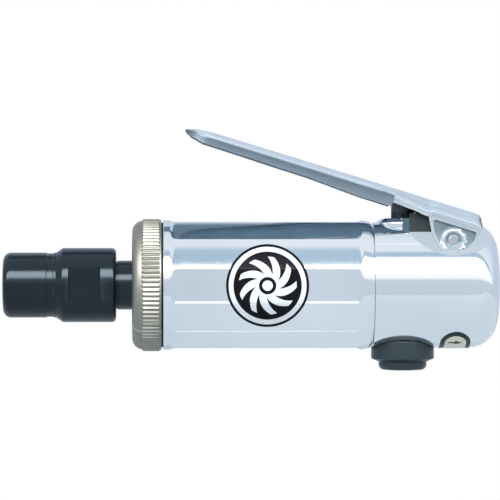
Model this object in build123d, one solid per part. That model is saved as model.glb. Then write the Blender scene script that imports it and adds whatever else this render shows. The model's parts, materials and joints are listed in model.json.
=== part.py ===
from build123d import *
import math
import os

# Small straight air die grinder.  Millimetres.  X runs along the spindle from the collet mouth
# (X = 0) to the air inlet, Z points up to the throttle lever, Y completes a right-handed frame.

# ---------------------------------------------------------------- fits
RUN_FIT = 0.05          # radial gap of turning and sliding fits
LOOSE_FIT = 0.3         # gap between pieces that only pass each other
SEAT_GAP = 0.03         # gap between two tapers on different bodies
SPIGOT_GAP = 0.05       # radial gap of the motor stack in the barrel bore

# ---------------------------------------------------------------- stations along the spindle
NUT_LENGTH = 33.1
CLAMP_FRONT = 37.8      # front face of the clamp nut
BARREL_FRONT = 46.8
BARREL_LENGTH = 60.2
NECK_GROOVE = 1.2       # width of the shallow groove between barrel and head
HEAD_LENGTH = 36.8
BARREL_REAR = BARREL_FRONT + BARREL_LENGTH
HEAD_FRONT = BARREL_REAR + NECK_GROOVE
TOOL_REAR = HEAD_FRONT + HEAD_LENGTH

# ---------------------------------------------------------------- housing
BARREL_R = 19.05
BARREL_WALL = 3.05
FLAT_COUNT = 12
FLAT_DEPTH = 0.5        # how far the middle of a flat lies inside the barrel's round
FLAT_MID_R = BARREL_R - FLAT_DEPTH
FLAT_CROWN_R = 60.0     # flats are slightly crowned
FLAT_END_R = 2.2        # cutter run-out at each end of a flat
FLAT_INSET = 1.4        # plain collar left at each end of the flats
GROOVE_R = 17.9
HEAD_R = 18.4
HEAD_REAR_R = 8.2       # rounding of the head's rear edge
EDGE = 0.4              # small chamfers and broken edges

# ---------------------------------------------------------------- motor
SHANK_R = 3.175         # quarter inch tool shank
FRONT_BEARING = dict(bore=5.0, outer=13.0, width=8.0, ball=2.38, count=7, inner_rim=7.4, outer_rim=10.6)
REAR_BEARING = dict(bore=3.0, outer=9.5, width=6.0, ball=1.75, count=7, inner_rim=5.0, outer_rim=7.6)
ROTOR_R = 11.2
ROTOR_LENGTH = 31.8
ROTOR_END_GAP = 0.1
VANE_COUNT = 5
VANE_THICK = 1.5
VANE_HEIGHT = 5.3
CYLINDER_BORE_R = 12.5
CYLINDER_OFFSET = 1.2   # how far the cylinder bore sits below the spindle axis
SPIGOT_LENGTH = 6.2
FRONT_PLATE_WEB = 3.0
REAR_PLATE_WEB = 2.5

BARREL_BORE_R = BARREL_R - BARREL_WALL
STACK_R = BARREL_BORE_R - SPIGOT_GAP
FRONT_PLATE_X = BARREL_FRONT + SPIGOT_LENGTH
FRONT_WEB_X = FRONT_PLATE_X + FRONT_BEARING["width"]
CYLINDER_X = FRONT_WEB_X + FRONT_PLATE_WEB
CYLINDER_LENGTH = ROTOR_LENGTH + 2 * ROTOR_END_GAP
REAR_PLATE_X = CYLINDER_X + CYLINDER_LENGTH
REAR_BEARING_X = REAR_PLATE_X + REAR_PLATE_WEB
REAR_PLATE_END = REAR_BEARING_X + REAR_BEARING["width"]
DISC_SPRING_HEIGHT = 1.1
MOTOR_WALL_X = REAR_PLATE_END + DISC_SPRING_HEIGHT
SHOULDER = 1.2          # height of the rotor's shoulders over its journals
SNAP_DEPTH = 0.5        # how far the rotor's snap ring enters the shaft
SNAP_THICK = 0.5
DOWEL_R = 1.2
DOWEL_DEPTH = 4.0       # how far the dowel enters the rear plate
DOWEL_RING_R = 13.6
DOWEL_ANGLE = math.radians(-35)
DOWEL_SPOT = (DOWEL_RING_R * math.sin(DOWEL_ANGLE), DOWEL_RING_R * math.cos(DOWEL_ANGLE))
EXHAUST_PORT_R = 1.2
EXHAUST_PORT_ANGLE = 44.5
EXHAUST_GROOVE_R = 2.0
EXHAUST_GROOVE_Y = 10.5
EXHAUST_GROOVE_Z = -10.7

# ---------------------------------------------------------------- nose
NUT_FRONT_R = 9.55
NUT_REAR_R = 10.9
NUT_STEP_X = 15.5
NUT_STEP = 2.0
NUT_ROUND = 2.3
NUT_FLAT_X = 19.2
NUT_FLAT_LENGTH = 9.4
NUT_ACROSS_FLATS = 19.0
THREAD_R = 7.0          # collet body thread, at its mean diameter
COLLET_NOSE_R = 4.2
COLLET_R = 6.4
COLLET_LENGTH = 24.0
COLLET_CONE_X = 1.0
COLLET_CONE_LENGTH = 3.0
COLLET_TAPER_X = 9.0
COLLET_TAIL_R = 5.2
SLIT_WIDTH = 0.6
SLIT_COUNT = 3
BODY_FRONT = 10.0
NECK_R = 7.2
STUB_R = 4.7            # threaded stub of the rotor inside the collet body
STUB_LENGTH = 14.0

# ---------------------------------------------------------------- clamp nut
CLAMP_RIM_OVER = 0.05    # how far the clamp nut's rim stands over the barrel
CLAMP_RIM_R = BARREL_R + CLAMP_RIM_OVER
CLAMP_ROUND = 3.2
CLAMP_WALL = 5.2        # front wall round the spindle neck
KNURL_OVER = 0.3        # how far the knurl's crests stand over the rim
KNURL_R = CLAMP_RIM_R + KNURL_OVER
KNURL_TEETH = 90
KNURL_DEPTH = 0.5
KNURL_START = 3.0
KNURL_LENGTH = 5.1
SEAL_R = 9.5
SEAL_WIDTH = 2.0
SEAL_INSET = 1.4

# ---------------------------------------------------------------- throttle valve and regulator
VALVE_X = 117.3         # common vertical axis of plunger, valve and regulator
BOSS_BASE_R = 8.0
BOSS_TOP_R = 6.1
BOSS_HEIGHT = 1.2
PLUNGER_R = 3.4
PLUNGER_DOME_R = 6.0
PLUNGER_BOTTOM = 12.6
PLUNGER_SEAL = 3.0      # height of the plunger's seal above its bottom
BUSHING_R = 4.6
CHAMBER_R = 6.0
CHAMBER_TOP = 13.5
SEAT_TOP = 7.0
SEAT_HEIGHT = 3.0
SEAT_HOLE_R = 3.0
POPPET_R = 4.2
POPPET_HEIGHT = 2.7
STEM_R = 1.5
DRUM_BORE_R = 7.0
DRUM_CUP_R = 5.2
DRUM_TOP = 3.4
DRUM_FLOOR = -9.0
DRUM_R = DRUM_BORE_R - RUN_FIT
DRUM_STEM_R = 3.5
DRUM_STEM_END = -21.0
DRUM_SEAL_Z = -12.0
RING_Z = -14.4          # upper face of the drum's snap ring
RING_THICK = 0.8
RING_DEPTH = 0.6        # depth of the ring's groove in the bore
SEAL_DEPTH = 1.2        # depth of the drum's seal groove and ring land
KNOB_THREAD_R = 1.2
KNOB_RECESS_R = 2.6
KNOB_RECESS_DEPTH = 2.0
PORT_RADII = (3.0, 2.0, 1.4, 0.9)
PORT_STEP = 60.0        # degrees between metering ports
SPRING_R = 3.3
SPRING_WIRE = 0.9
SPRING_TURNS = 5
KNOB_R = 9.24
KNOB_TIER_R = 7.05
KNOB_SEAT_Z = -16.2
KNOB_BOTTOM = -25.35
KNOB_EDGE_Z = -21.6
KNOB_TIER_Z = -22.5
KNOB_TIER_ROUND = 1.6

# ---------------------------------------------------------------- throttle lever
PIVOT_X = 131.75
PIVOT_Z = 13.14
PIN_R = 1.6
LEVER_ANGLE = 17.0      # slope of the released lever
LEVER_STROKE = 12.0     # degrees from released to fully pressed
LEVER_TOP = 9.55        # top face above the pivot, square to the face
LEVER_SHEET = 1.6
LEVER_REACH = 84.5
LEVER_HALF_WIDTH = 7.7
EAR_HALF_WIDTH = 7.4
FLANGE_THICK = 1.5
LEVER_BEND_R = 1.8
TONGUE_HALF_WIDTH = 5.9
POCKET_X = 131.8
POCKET_Z = 25.0
POCKET_R = 16.4
RELIEF_FRONT = VALVE_X + PLUNGER_R + 0.4
RELIEF_LENGTH = 5.0
RELIEF_Z = 15.6

# ---------------------------------------------------------------- inlet and exhaust
INLET_R = 5.6           # female quarter inch pipe thread, at its mean diameter
INLET_DEPTH = 12.0
THREAD_CHAMFER = 0.5
INLET_SEAL = 2.5        # from the spigot's end to the middle of its seal
INLET_SEAT_R = 7.2
INLET_SEAT_X = 126.0
SCREEN_R = 5.4
SCREEN_THICK = 0.5
SCREEN_GAP = 0.3        # the strainer lies this far below the thread
SCREEN_HOLE_R = 0.45
GALLERY_R = 9.8
GALLERY_X = 131.0
FLANGE_LENGTH = 3.0
EXHAUST_COUNT = 12
EXHAUST_R = 0.9
PASSAGE_R = 1.5
AIR_DUCT_R = 2.0        # from the valve chamber to the motor
INLET_DUCT_R = 4.0      # from the inlet to the regulator

# ---------------------------------------------------------------- badge and label
SKIN = 0.15
BADGE_X = 77.0
BADGE_R = 12.0
LABEL_X = 132.2
LABEL_HALF_WIDTH = 4.4
LABEL_HALF_SPAN = 12.5


def rod_x(r, x0, x1, y=0.0, z=0.0):
    """Round bar along X."""
    return Location(((x0 + x1) / 2, y, z), (0, 90, 0)) * Cylinder(r, x1 - x0)


def rod_y(r, y0, y1, x, z):
    """Round bar along Y."""
    return Location((x, (y0 + y1) / 2, z), (90, 0, 0)) * Cylinder(r, y1 - y0)


def rod_z(r, z0, z1, x=VALVE_X, y=0.0):
    """Round bar along Z."""
    return Location((x, y, (z0 + z1) / 2)) * Cylinder(r, z1 - z0)


def tube_x(r_out, r_in, x0, x1):
    """Straight tube along X."""
    return rod_x(r_out, x0, x1) - rod_x(r_in, x0 - 1, x1 + 1)


def arc(start, end, centre):
    """Short round arc between two points about a centre."""
    spoke = Vector(*start) - Vector(*centre)
    middle = ((Vector(*start) + Vector(*end)) * 0.5 - Vector(*centre)).normalized() * spoke.length
    return ThreePointArc(start, (centre[0] + middle.X, centre[1] + middle.Y), end)


def side_face(*lines):
    """Face in the side view, from lines drawn as (x, z)."""
    return Plane.XZ * make_face(list(lines))


def turned(*points):
    """Solid of revolution about the spindle axis from (x, radius) points."""
    return revolve(side_face(Polyline(*points, close=True)), Axis.X)


def turned_valve(*points):
    """Solid of revolution about the valve axis from (radius, z) points."""
    outline = Polyline(*[(VALVE_X + r, z) for r, z in points], close=True)
    return revolve(side_face(outline), Axis((VALVE_X, 0, 0), (0, 0, 1)))


def o_ring_x(x, r_mid, section_r):
    """O-ring lying square to the spindle axis."""
    return Location((x, 0, 0), (0, 90, 0)) * Torus(r_mid, section_r)


def o_ring_z(z, r_mid, section_r):
    """O-ring lying square to the valve axis."""
    return Location((VALVE_X, 0, z)) * Torus(r_mid, section_r)


def around_x(solid, degrees):
    """Copy of a solid turned about the spindle axis."""
    return Rot(degrees, 0, 0) * solid


# ---------------------------------------------------------------- housing
def flat_cutter(x0, x1):
    """Crowned milling cut of the barrel's top flat, with a rounded run-out at both ends."""
    depth_room = 4.0
    centre_z = FLAT_MID_R - FLAT_CROWN_R
    floor = FLAT_MID_R
    top = floor + depth_room
    round_z = floor + FLAT_END_R
    front = arc((x0, round_z), (x0 + FLAT_END_R, floor), (x0 + FLAT_END_R, round_z))
    rear = arc((x1 - FLAT_END_R, floor), (x1, round_z), (x1 - FLAT_END_R, round_z))
    bottom = Line((x0 + FLAT_END_R, floor), (x1 - FLAT_END_R, floor))
    rest = Polyline((x1, round_z), (x1, top), (x0, top), (x0, round_z))
    axis = Axis((0, 0, centre_z), (1, 0, 0))
    sweep_angle = 16.0
    section = side_face(front, bottom, rear, rest).rotate(axis, -sweep_angle / 2)
    return revolve(section, axis, sweep_angle)


def outer_form():
    """Barrel, groove and head as one turned bar with the flats milled in the barrel."""
    round_x = TOOL_REAR - HEAD_REAR_R
    round_z = HEAD_R - HEAD_REAR_R
    rear_round = arc((round_x, HEAD_R), (TOOL_REAR, round_z), (round_x, round_z))
    front = Polyline(
        (TOOL_REAR, round_z), (TOOL_REAR, 0), (BARREL_FRONT, 0),
        (BARREL_FRONT, BARREL_R - EDGE), (BARREL_FRONT + EDGE, BARREL_R),
        (BARREL_REAR - EDGE, BARREL_R), (BARREL_REAR, BARREL_R - EDGE),
        (BARREL_REAR, GROOVE_R), (HEAD_FRONT, GROOVE_R), (HEAD_FRONT, HEAD_R - EDGE / 2),
        (HEAD_FRONT + EDGE / 2, HEAD_R), (round_x, HEAD_R))
    bar = revolve(side_face(rear_round, front), Axis.X)
    cutter = flat_cutter(BARREL_FRONT + FLAT_INSET, BARREL_REAR - FLAT_INSET)
    step = 360 / FLAT_COUNT
    return bar - [around_x(cutter, index * step) for index in range(FLAT_COUNT)]


def valve_boss():
    """Short cone on top of the head that carries the plunger."""
    return turned_valve((0, 0), (BOSS_BASE_R, 0), (BOSS_BASE_R, HEAD_R),
                        (BOSS_TOP_R, HEAD_R + BOSS_HEIGHT), (0, HEAD_R + BOSS_HEIGHT))


def exhaust_passage(side):
    """Slanted drilling from the motor to the exhaust gallery, clear of the valve bore."""
    start = Vector(MOTOR_WALL_X - 2.0, side * EXHAUST_GROOVE_Y, EXHAUST_GROOVE_Z)
    end = Vector(GALLERY_X + 3.0, side * (GALLERY_R - 1.4), -1.5)
    run = end - start
    plane = Plane(origin=start, z_dir=run)
    return plane * Pos(0, 0, run.length / 2) * Cylinder(PASSAGE_R, run.length)


def exhaust_groove(side):
    """Long groove in the barrel bore that collects the exhaust."""
    front = CYLINDER_X + 2
    return rod_x(EXHAUST_GROOVE_R, front, MOTOR_WALL_X, side * EXHAUST_GROOVE_Y, EXHAUST_GROOVE_Z)


def housing():
    """One-piece barrel and head with every bore in it."""
    body = outer_form() + valve_boss()
    far = 2 * HEAD_R
    body -= rod_x(BARREL_BORE_R, BARREL_FRONT - 1, MOTOR_WALL_X)
    body -= [exhaust_groove(side) + exhaust_passage(side) for side in (-1, 1)]
    body -= rod_z(BUSHING_R, CHAMBER_TOP - 1, far)
    body -= rod_z(CHAMBER_R, SEAT_TOP - 1, CHAMBER_TOP)
    body -= rod_z(DRUM_BORE_R, -far, SEAT_TOP)
    body -= rod_z(KNOB_R + LOOSE_FIT, -far, KNOB_SEAT_Z)
    body -= rod_z(DRUM_BORE_R + RING_DEPTH, RING_Z - RING_THICK, RING_Z)
    body -= rod_x(AIR_DUCT_R, MOTOR_WALL_X - 1, VALVE_X, 0, (SEAT_TOP + CHAMBER_TOP) / 2 + 1)
    body -= rod_x(INLET_DUCT_R, VALVE_X, INLET_SEAT_X + 1)
    body -= rod_x(INLET_SEAT_R, INLET_SEAT_X, GALLERY_X + 1)
    body -= rod_x(GALLERY_R, GALLERY_X, TOOL_REAR + 1)
    body -= rod_y(POCKET_R, -far, -TONGUE_HALF_WIDTH, POCKET_X, POCKET_Z)
    body -= rod_y(POCKET_R, TONGUE_HALF_WIDTH, far, POCKET_X, POCKET_Z)
    relief_height = 20.0
    relief = Box(RELIEF_LENGTH, far, relief_height)
    body -= Pos(RELIEF_FRONT + RELIEF_LENGTH / 2, 0, RELIEF_Z + relief_height / 2) * relief
    body -= rod_y(PIN_R, -far, far, PIVOT_X, PIVOT_Z)
    return body


# ---------------------------------------------------------------- nose
def collet_nut():
    """Closing nut: two diameters, shallow relief, two wrench flats and a coned mouth."""
    rear = NUT_STEP_X + NUT_STEP
    rear_round = 1.3
    relief = 0.2
    cone_rise = (COLLET_R - COLLET_NOSE_R) / COLLET_CONE_LENGTH
    mouth_r = COLLET_NOSE_R + 2 * SEAT_GAP
    bore_r = THREAD_R + RUN_FIT
    bore_x = COLLET_CONE_X + (bore_r - mouth_r) / cone_rise
    front_face_r = NUT_FRONT_R - NUT_ROUND
    rear_face_r = NUT_REAR_R - rear_round
    front_arc = arc((0, front_face_r), (NUT_ROUND, NUT_FRONT_R), (NUT_ROUND, front_face_r))
    rear_arc = arc((NUT_LENGTH - rear_round, NUT_REAR_R), (NUT_LENGTH, rear_face_r),
                   (NUT_LENGTH - rear_round, rear_face_r))
    relief_x = NUT_STEP_X - 2.8
    relief_end = NUT_STEP_X - 0.6
    side = Polyline(
        (NUT_ROUND, NUT_FRONT_R), (relief_x, NUT_FRONT_R), (relief_x + relief, NUT_FRONT_R - relief),
        (relief_end - relief, NUT_FRONT_R - relief), (relief_end, NUT_FRONT_R), (NUT_STEP_X, NUT_FRONT_R),
        (rear, NUT_REAR_R), (NUT_LENGTH - rear_round, NUT_REAR_R))
    bore = Polyline(
        (NUT_LENGTH, rear_face_r), (NUT_LENGTH, bore_r), (bore_x, bore_r),
        (COLLET_CONE_X, mouth_r), (0, mouth_r), (0, front_face_r))
    nut = revolve(side_face(front_arc, side, rear_arc, bore), Axis.X)
    middle = NUT_FLAT_X + NUT_FLAT_LENGTH / 2
    slab = 4.0
    cutter = Box(NUT_FLAT_LENGTH, slab, 3 * NUT_REAR_R)
    for side in (-1, 1):
        nut -= Pos(middle, side * (NUT_ACROSS_FLATS + slab) / 2, 0) * cutter
    return nut


def collet():
    """Split spring collet with a short front cone and a long rear taper."""
    cone_end = COLLET_CONE_X + COLLET_CONE_LENGTH
    sleeve = turned((0, SHANK_R), (0, COLLET_NOSE_R), (COLLET_CONE_X, COLLET_NOSE_R), (cone_end, COLLET_R),
                    (COLLET_TAPER_X, COLLET_R), (COLLET_LENGTH, COLLET_TAIL_R), (COLLET_LENGTH, SHANK_R))
    slit_length = COLLET_LENGTH - 5.0
    slit = Pos(slit_length / 2 - 1, 0, COLLET_R) * Box(slit_length + 2, SLIT_WIDTH, 2 * COLLET_R)
    return sleeve - [around_x(slit, index * 360 / SLIT_COUNT) for index in range(SLIT_COUNT)]


def taper_radius(x):
    """Radius of the collet's rear taper at station x."""
    slope = (COLLET_R - COLLET_TAIL_R) / (COLLET_LENGTH - COLLET_TAPER_X)
    return COLLET_R - slope * (x - COLLET_TAPER_X)


def collet_body():
    """Chuck body: collet seat in front, male thread for the nut, screwed on the rotor stub."""
    seat_end = COLLET_LENGTH + 1.0
    neck_front = NUT_LENGTH + 0.5
    shank_end = FRONT_PLATE_X - STUB_LENGTH - 2.0
    stub_front = FRONT_PLATE_X - STUB_LENGTH
    rear_neck = CLAMP_FRONT + CLAMP_WALL
    shank_r = SHANK_R + LOOSE_FIT
    rear_r = NECK_R - 0.6
    return turned(
        (BODY_FRONT, taper_radius(BODY_FRONT) + SEAT_GAP), (BODY_FRONT, THREAD_R - EDGE),
        (BODY_FRONT + EDGE, THREAD_R), (neck_front, THREAD_R), (neck_front, NECK_R), (rear_neck, NECK_R),
        (rear_neck, rear_r), (FRONT_PLATE_X, rear_r), (FRONT_PLATE_X, STUB_R), (stub_front, STUB_R),
        (stub_front, 0), (shank_end, 0), (shank_end, shank_r), (seat_end, shank_r),
        (seat_end, taper_radius(seat_end) + SEAT_GAP))


# ---------------------------------------------------------------- clamp nut
def knurl_ring(x0, x1):
    """Straight knurl as a ring of triangular teeth."""
    points = []
    for index in range(2 * KNURL_TEETH):
        radius = KNURL_R if index % 2 == 0 else KNURL_R - KNURL_DEPTH
        angle = math.pi * index / KNURL_TEETH
        points.append((x0, radius * math.cos(angle), radius * math.sin(angle)))
    star = make_face(Polyline(*points, close=True))
    return extrude(star, amount=x1 - x0, dir=(1, 0, 0))


def clamp_nut():
    """Knurled nut that screws into the barrel and clamps the motor; it carries the dust seal."""
    seal_x = CLAMP_FRONT + SEAL_INSET
    round_x = CLAMP_FRONT + CLAMP_ROUND
    shoulder_r = CLAMP_RIM_R - 0.2
    face_r = shoulder_r - CLAMP_ROUND
    face_arc = arc((CLAMP_FRONT, face_r), (round_x, shoulder_r), (round_x, face_r))
    bore_r = NECK_R + LOOSE_FIT
    lip_end = CLAMP_FRONT + CLAMP_WALL
    bearing_lip_r = FRONT_BEARING["outer"] - 1.0
    rest = Polyline(
        (round_x, shoulder_r), (round_x + 0.2, CLAMP_RIM_R), (BARREL_FRONT - 0.3, CLAMP_RIM_R),
        (BARREL_FRONT, CLAMP_RIM_R - 0.3), (BARREL_FRONT, STACK_R), (FRONT_PLATE_X, STACK_R),
        (FRONT_PLATE_X, bearing_lip_r), (lip_end, bearing_lip_r), (lip_end, bore_r),
        (seal_x + SEAL_WIDTH, bore_r), (seal_x + SEAL_WIDTH, SEAL_R), (seal_x, SEAL_R),
        (seal_x, bore_r), (CLAMP_FRONT, bore_r), (CLAMP_FRONT, face_r))
    ring = revolve(side_face(face_arc, rest), Axis.X)
    knurl_x = CLAMP_FRONT + KNURL_START
    teeth = knurl_ring(knurl_x, knurl_x + KNURL_LENGTH) - rod_x(SEAL_R + 4.0, knurl_x - 1, BARREL_FRONT + 1)
    return ring + teeth


def dust_seal():
    """Felt ring round the spindle neck."""
    seal_x = CLAMP_FRONT + SEAL_INSET
    return tube_x(SEAL_R, NECK_R + RUN_FIT, seal_x, seal_x + SEAL_WIDTH)


# ---------------------------------------------------------------- ball bearings
def ball_track(bearing, x_mid):
    """Torus swept by the balls, with running clearance."""
    pitch_r = (bearing["inner_rim"] + bearing["outer_rim"]) / 2
    return o_ring_x(x_mid, pitch_r, bearing["ball"] + RUN_FIT)


def bearing_pieces(bearing, x0):
    """Outer race, inner race, cage and balls of one deep-groove bearing."""
    x1 = x0 + bearing["width"]
    x_mid = (x0 + x1) / 2
    pitch_r = (bearing["inner_rim"] + bearing["outer_rim"]) / 2
    track = ball_track(bearing, x_mid)
    outer = tube_x(bearing["outer"], bearing["outer_rim"], x0, x1) - track
    inner = tube_x(bearing["inner_rim"], bearing["bore"], x0, x1) - track
    cage_half = bearing["ball"] + 0.5
    cage_thick = 0.6
    cage = tube_x(pitch_r + cage_thick, pitch_r - cage_thick, x_mid - cage_half, x_mid + cage_half)
    balls = []
    for index in range(bearing["count"]):
        spot = around_x(Pos(x_mid, 0, pitch_r), index * 360 / bearing["count"])
        balls.append(spot * Sphere(bearing["ball"]))
        cage -= spot * Sphere(bearing["ball"] + RUN_FIT)
    return outer, inner, cage, Compound(children=balls)


# ---------------------------------------------------------------- air motor
def rotor():
    """Slotted rotor, one piece with its shaft."""
    stub_front = FRONT_PLATE_X - STUB_LENGTH
    body_x = CYLINDER_X + ROTOR_END_GAP
    body_end = body_x + ROTOR_LENGTH
    shaft_end = REAR_PLATE_END + 0.8
    front_r = FRONT_BEARING["bore"]
    rear_r = REAR_BEARING["bore"]
    front_step = front_r + SHOULDER
    rear_step = rear_r + SHOULDER
    shaft = turned(
        (stub_front, 0), (stub_front, STUB_R), (FRONT_PLATE_X, STUB_R), (FRONT_PLATE_X, front_r),
        (FRONT_WEB_X, front_r), (FRONT_WEB_X, front_step), (body_x, front_step), (body_x, ROTOR_R),
        (body_end, ROTOR_R), (body_end, rear_step), (REAR_BEARING_X, rear_step), (REAR_BEARING_X, rear_r),
        (shaft_end, rear_r), (shaft_end, 0))
    shaft -= tube_x(rear_r + 1, rear_r - SNAP_DEPTH, REAR_PLATE_END, REAR_PLATE_END + SNAP_THICK)
    slot_depth = VANE_HEIGHT + 0.3
    above = 1.0
    cutter = Box(ROTOR_LENGTH + 1, VANE_THICK + 2 * RUN_FIT, slot_depth + above)
    slot = Pos((body_x + body_end) / 2, 0, ROTOR_R + (above - slot_depth) / 2) * cutter
    return shaft - [around_x(slot, index * 360 / VANE_COUNT) for index in range(VANE_COUNT)]


def rotor_vane(index):
    """One sliding vane, shown pushed home in its slot."""
    middle = CYLINDER_X + CYLINDER_LENGTH / 2
    blade = Box(ROTOR_LENGTH - 2 * ROTOR_END_GAP, VANE_THICK, VANE_HEIGHT)
    seated = Pos(middle, 0, ROTOR_R - RUN_FIT - VANE_HEIGHT / 2) * blade
    return around_x(seated, index * 360 / VANE_COUNT)


def rotor_ring():
    """Snap ring that holds the rear bearing on the shaft."""
    shaft_r = REAR_BEARING["bore"]
    return tube_x(shaft_r + 1.3, shaft_r - SNAP_DEPTH, REAR_PLATE_END, REAR_PLATE_END + SNAP_THICK)


def cylinder():
    """Motor cylinder with an offset bore and two rows of exhaust ports."""
    end = CYLINDER_X + CYLINDER_LENGTH
    liner = rod_x(STACK_R, CYLINDER_X, end)
    liner -= rod_x(CYLINDER_BORE_R, CYLINDER_X - 1, end + 1, 0, -CYLINDER_OFFSET)
    liner -= rod_x(DOWEL_R, CYLINDER_X - 1, end + 1, *DOWEL_SPOT)
    for side in (-1, 1):
        port = around_x(rod_z(EXHAUST_PORT_R, -STACK_R - 1, -ROTOR_R, 0), side * EXHAUST_PORT_ANGLE)
        liner -= [Pos(CYLINDER_X + 6 + 5 * index, 0, 0) * port for index in range(5)]
    return liner


def front_end_plate():
    """Steel plate that carries the front bearing and closes the cylinder."""
    pocket_r = FRONT_BEARING["outer"]
    plate = rod_x(STACK_R, FRONT_PLATE_X, CYLINDER_X) - rod_x(pocket_r, FRONT_PLATE_X - 1, FRONT_WEB_X)
    plate -= rod_x(FRONT_BEARING["bore"] + SHOULDER + LOOSE_FIT, FRONT_PLATE_X, CYLINDER_X + 1)
    return plate - rod_x(DOWEL_R, FRONT_WEB_X + 1, CYLINDER_X + 1, *DOWEL_SPOT)


def rear_end_plate():
    """Steel plate that carries the rear bearing and lets the air in."""
    pocket_r = REAR_BEARING["outer"]
    plate = rod_x(STACK_R, REAR_PLATE_X, REAR_PLATE_END) - rod_x(pocket_r, REAR_BEARING_X, REAR_PLATE_END + 1)
    plate -= rod_x(REAR_BEARING["bore"] + SHOULDER + LOOSE_FIT, REAR_PLATE_X - 1, REAR_PLATE_END)
    plate -= rod_x(DOWEL_R, REAR_PLATE_X - 1, REAR_PLATE_X + DOWEL_DEPTH, *DOWEL_SPOT)
    for angle in (20, 32, 44, 56):
        plate -= around_x(rod_x(1.1, REAR_PLATE_X - 1, REAR_PLATE_END + 1, 0, 11.4), -angle)
    return plate


def cylinder_pin():
    """Dowel that lines the plates up with the cylinder."""
    return rod_x(DOWEL_R, FRONT_WEB_X + 1, REAR_PLATE_X + DOWEL_DEPTH, *DOWEL_SPOT)


def disc_spring():
    """Dished washer that loads the motor stack against the housing wall."""
    thick = 0.4
    rim_r = STACK_R - 0.4
    hole_r = 10.4
    return turned((REAR_PLATE_END, rim_r), (REAR_PLATE_END + thick, rim_r),
                  (MOTOR_WALL_X, hole_r), (MOTOR_WALL_X - thick, hole_r))


# ---------------------------------------------------------------- throttle valve
def valve_bushing():
    """Brass guide pressed in the boss."""
    top = HEAD_R + BOSS_HEIGHT - 0.2
    return rod_z(BUSHING_R, CHAMBER_TOP, top) - rod_z(PLUNGER_R + RUN_FIT, 0, top + 1)


def plunger_top():
    """Height of the plunger's dome so that it just clears the released lever."""
    contact_gap = 0.1
    slope = math.radians(LEVER_ANGLE)
    arm = PIVOT_X - VALVE_X
    underside = LEVER_TOP - LEVER_SHEET
    centre = PIVOT_Z + (underside - PLUNGER_DOME_R) / math.cos(slope) + arm * math.tan(slope)
    return centre + PLUNGER_DOME_R - contact_gap


def valve_plunger():
    """Push button under the lever, with a domed top and a seal groove."""
    top = plunger_top()
    dome = Pos(VALVE_X, 0, top - PLUNGER_DOME_R) * Sphere(PLUNGER_DOME_R)
    rod = rod_z(PLUNGER_R, PLUNGER_BOTTOM, top) & dome + rod_z(PLUNGER_R + 1, PLUNGER_BOTTOM, top - 2)
    groove_z = PLUNGER_BOTTOM + PLUNGER_SEAL
    half_width = 0.6
    groove = rod_z(PLUNGER_R + 1, groove_z - half_width, groove_z + half_width)
    return rod - (groove - rod_z(PLUNGER_R - 1.0, PLUNGER_BOTTOM, top))


def plunger_o_ring():
    """Seal in the plunger's groove."""
    return o_ring_z(PLUNGER_BOTTOM + PLUNGER_SEAL, PLUNGER_R - 0.5, 0.5)


def valve_seat():
    """Ring pressed in the bore; the throttle valve closes against it from below."""
    return rod_z(DRUM_BORE_R, SEAT_TOP - SEAT_HEIGHT, SEAT_TOP) - rod_z(SEAT_HOLE_R, 0, SEAT_TOP + 1)


def throttle_valve():
    """Poppet with its stem."""
    top = SEAT_TOP - SEAT_HEIGHT - 0.05
    return rod_z(POPPET_R, top - POPPET_HEIGHT, top) + rod_z(STEM_R, top, PLUNGER_BOTTOM)


def valve_spring():
    """Coil spring between the regulator floor and the poppet."""
    top = SEAT_TOP - SEAT_HEIGHT - POPPET_HEIGHT - 0.15
    bottom = DRUM_FLOOR + 0.1
    height = top - bottom - SPRING_WIRE
    path = Helix(pitch=height / SPRING_TURNS, height=height, radius=SPRING_R,
                 center=(VALVE_X, 0, bottom + SPRING_WIRE / 2))
    section = Plane(origin=path @ 0, z_dir=path % 0) * Circle(SPRING_WIRE / 2)
    return sweep(section, path=path, is_frenet=True)


# ---------------------------------------------------------------- air regulator
def regulator_drum():
    """Rotary cup whose graded ports throttle the inlet."""
    land_z = RING_Z + RUN_FIT
    land_r = DRUM_R - SEAL_DEPTH
    foot_z = KNOB_SEAT_Z + 2 * RUN_FIT
    drum = turned_valve((0, DRUM_FLOOR), (DRUM_CUP_R, DRUM_FLOOR), (DRUM_CUP_R, DRUM_TOP), (DRUM_R, DRUM_TOP),
                        (DRUM_R, land_z), (land_r, land_z), (land_r, foot_z), (DRUM_STEM_R, foot_z),
                        (DRUM_STEM_R, DRUM_STEM_END), (0, DRUM_STEM_END))
    for index, radius in enumerate(PORT_RADII):
        port = Location((0, 0, 0), (0, 90, 0)) * Pos(0, 0, DRUM_R) * Cylinder(radius, 6)
        drum -= Pos(VALVE_X, 0, 0) * Rot(0, 0, -index * PORT_STEP) * port
    half_width = 0.7
    groove = rod_z(DRUM_R + 1, DRUM_SEAL_Z - half_width, DRUM_SEAL_Z + half_width)
    drum -= groove - rod_z(DRUM_R - SEAL_DEPTH, KNOB_SEAT_Z, 0)
    return drum - rod_z(KNOB_THREAD_R, DRUM_STEM_END - 1, DRUM_STEM_END + 6)


def regulator_o_ring():
    """Seal between the drum and the housing."""
    return o_ring_z(DRUM_SEAL_Z, DRUM_R - 0.57, 0.55)


def retaining_ring():
    """Snap ring that keeps the drum in its bore."""
    gap = Pos(VALVE_X + DRUM_R, 0, RING_Z) * Box(4, 3, 4)
    ring = rod_z(DRUM_BORE_R + RING_DEPTH, RING_Z - RING_THICK, RING_Z)
    return ring - rod_z(DRUM_R - 0.8, KNOB_SEAT_Z, 0) - gap


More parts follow.
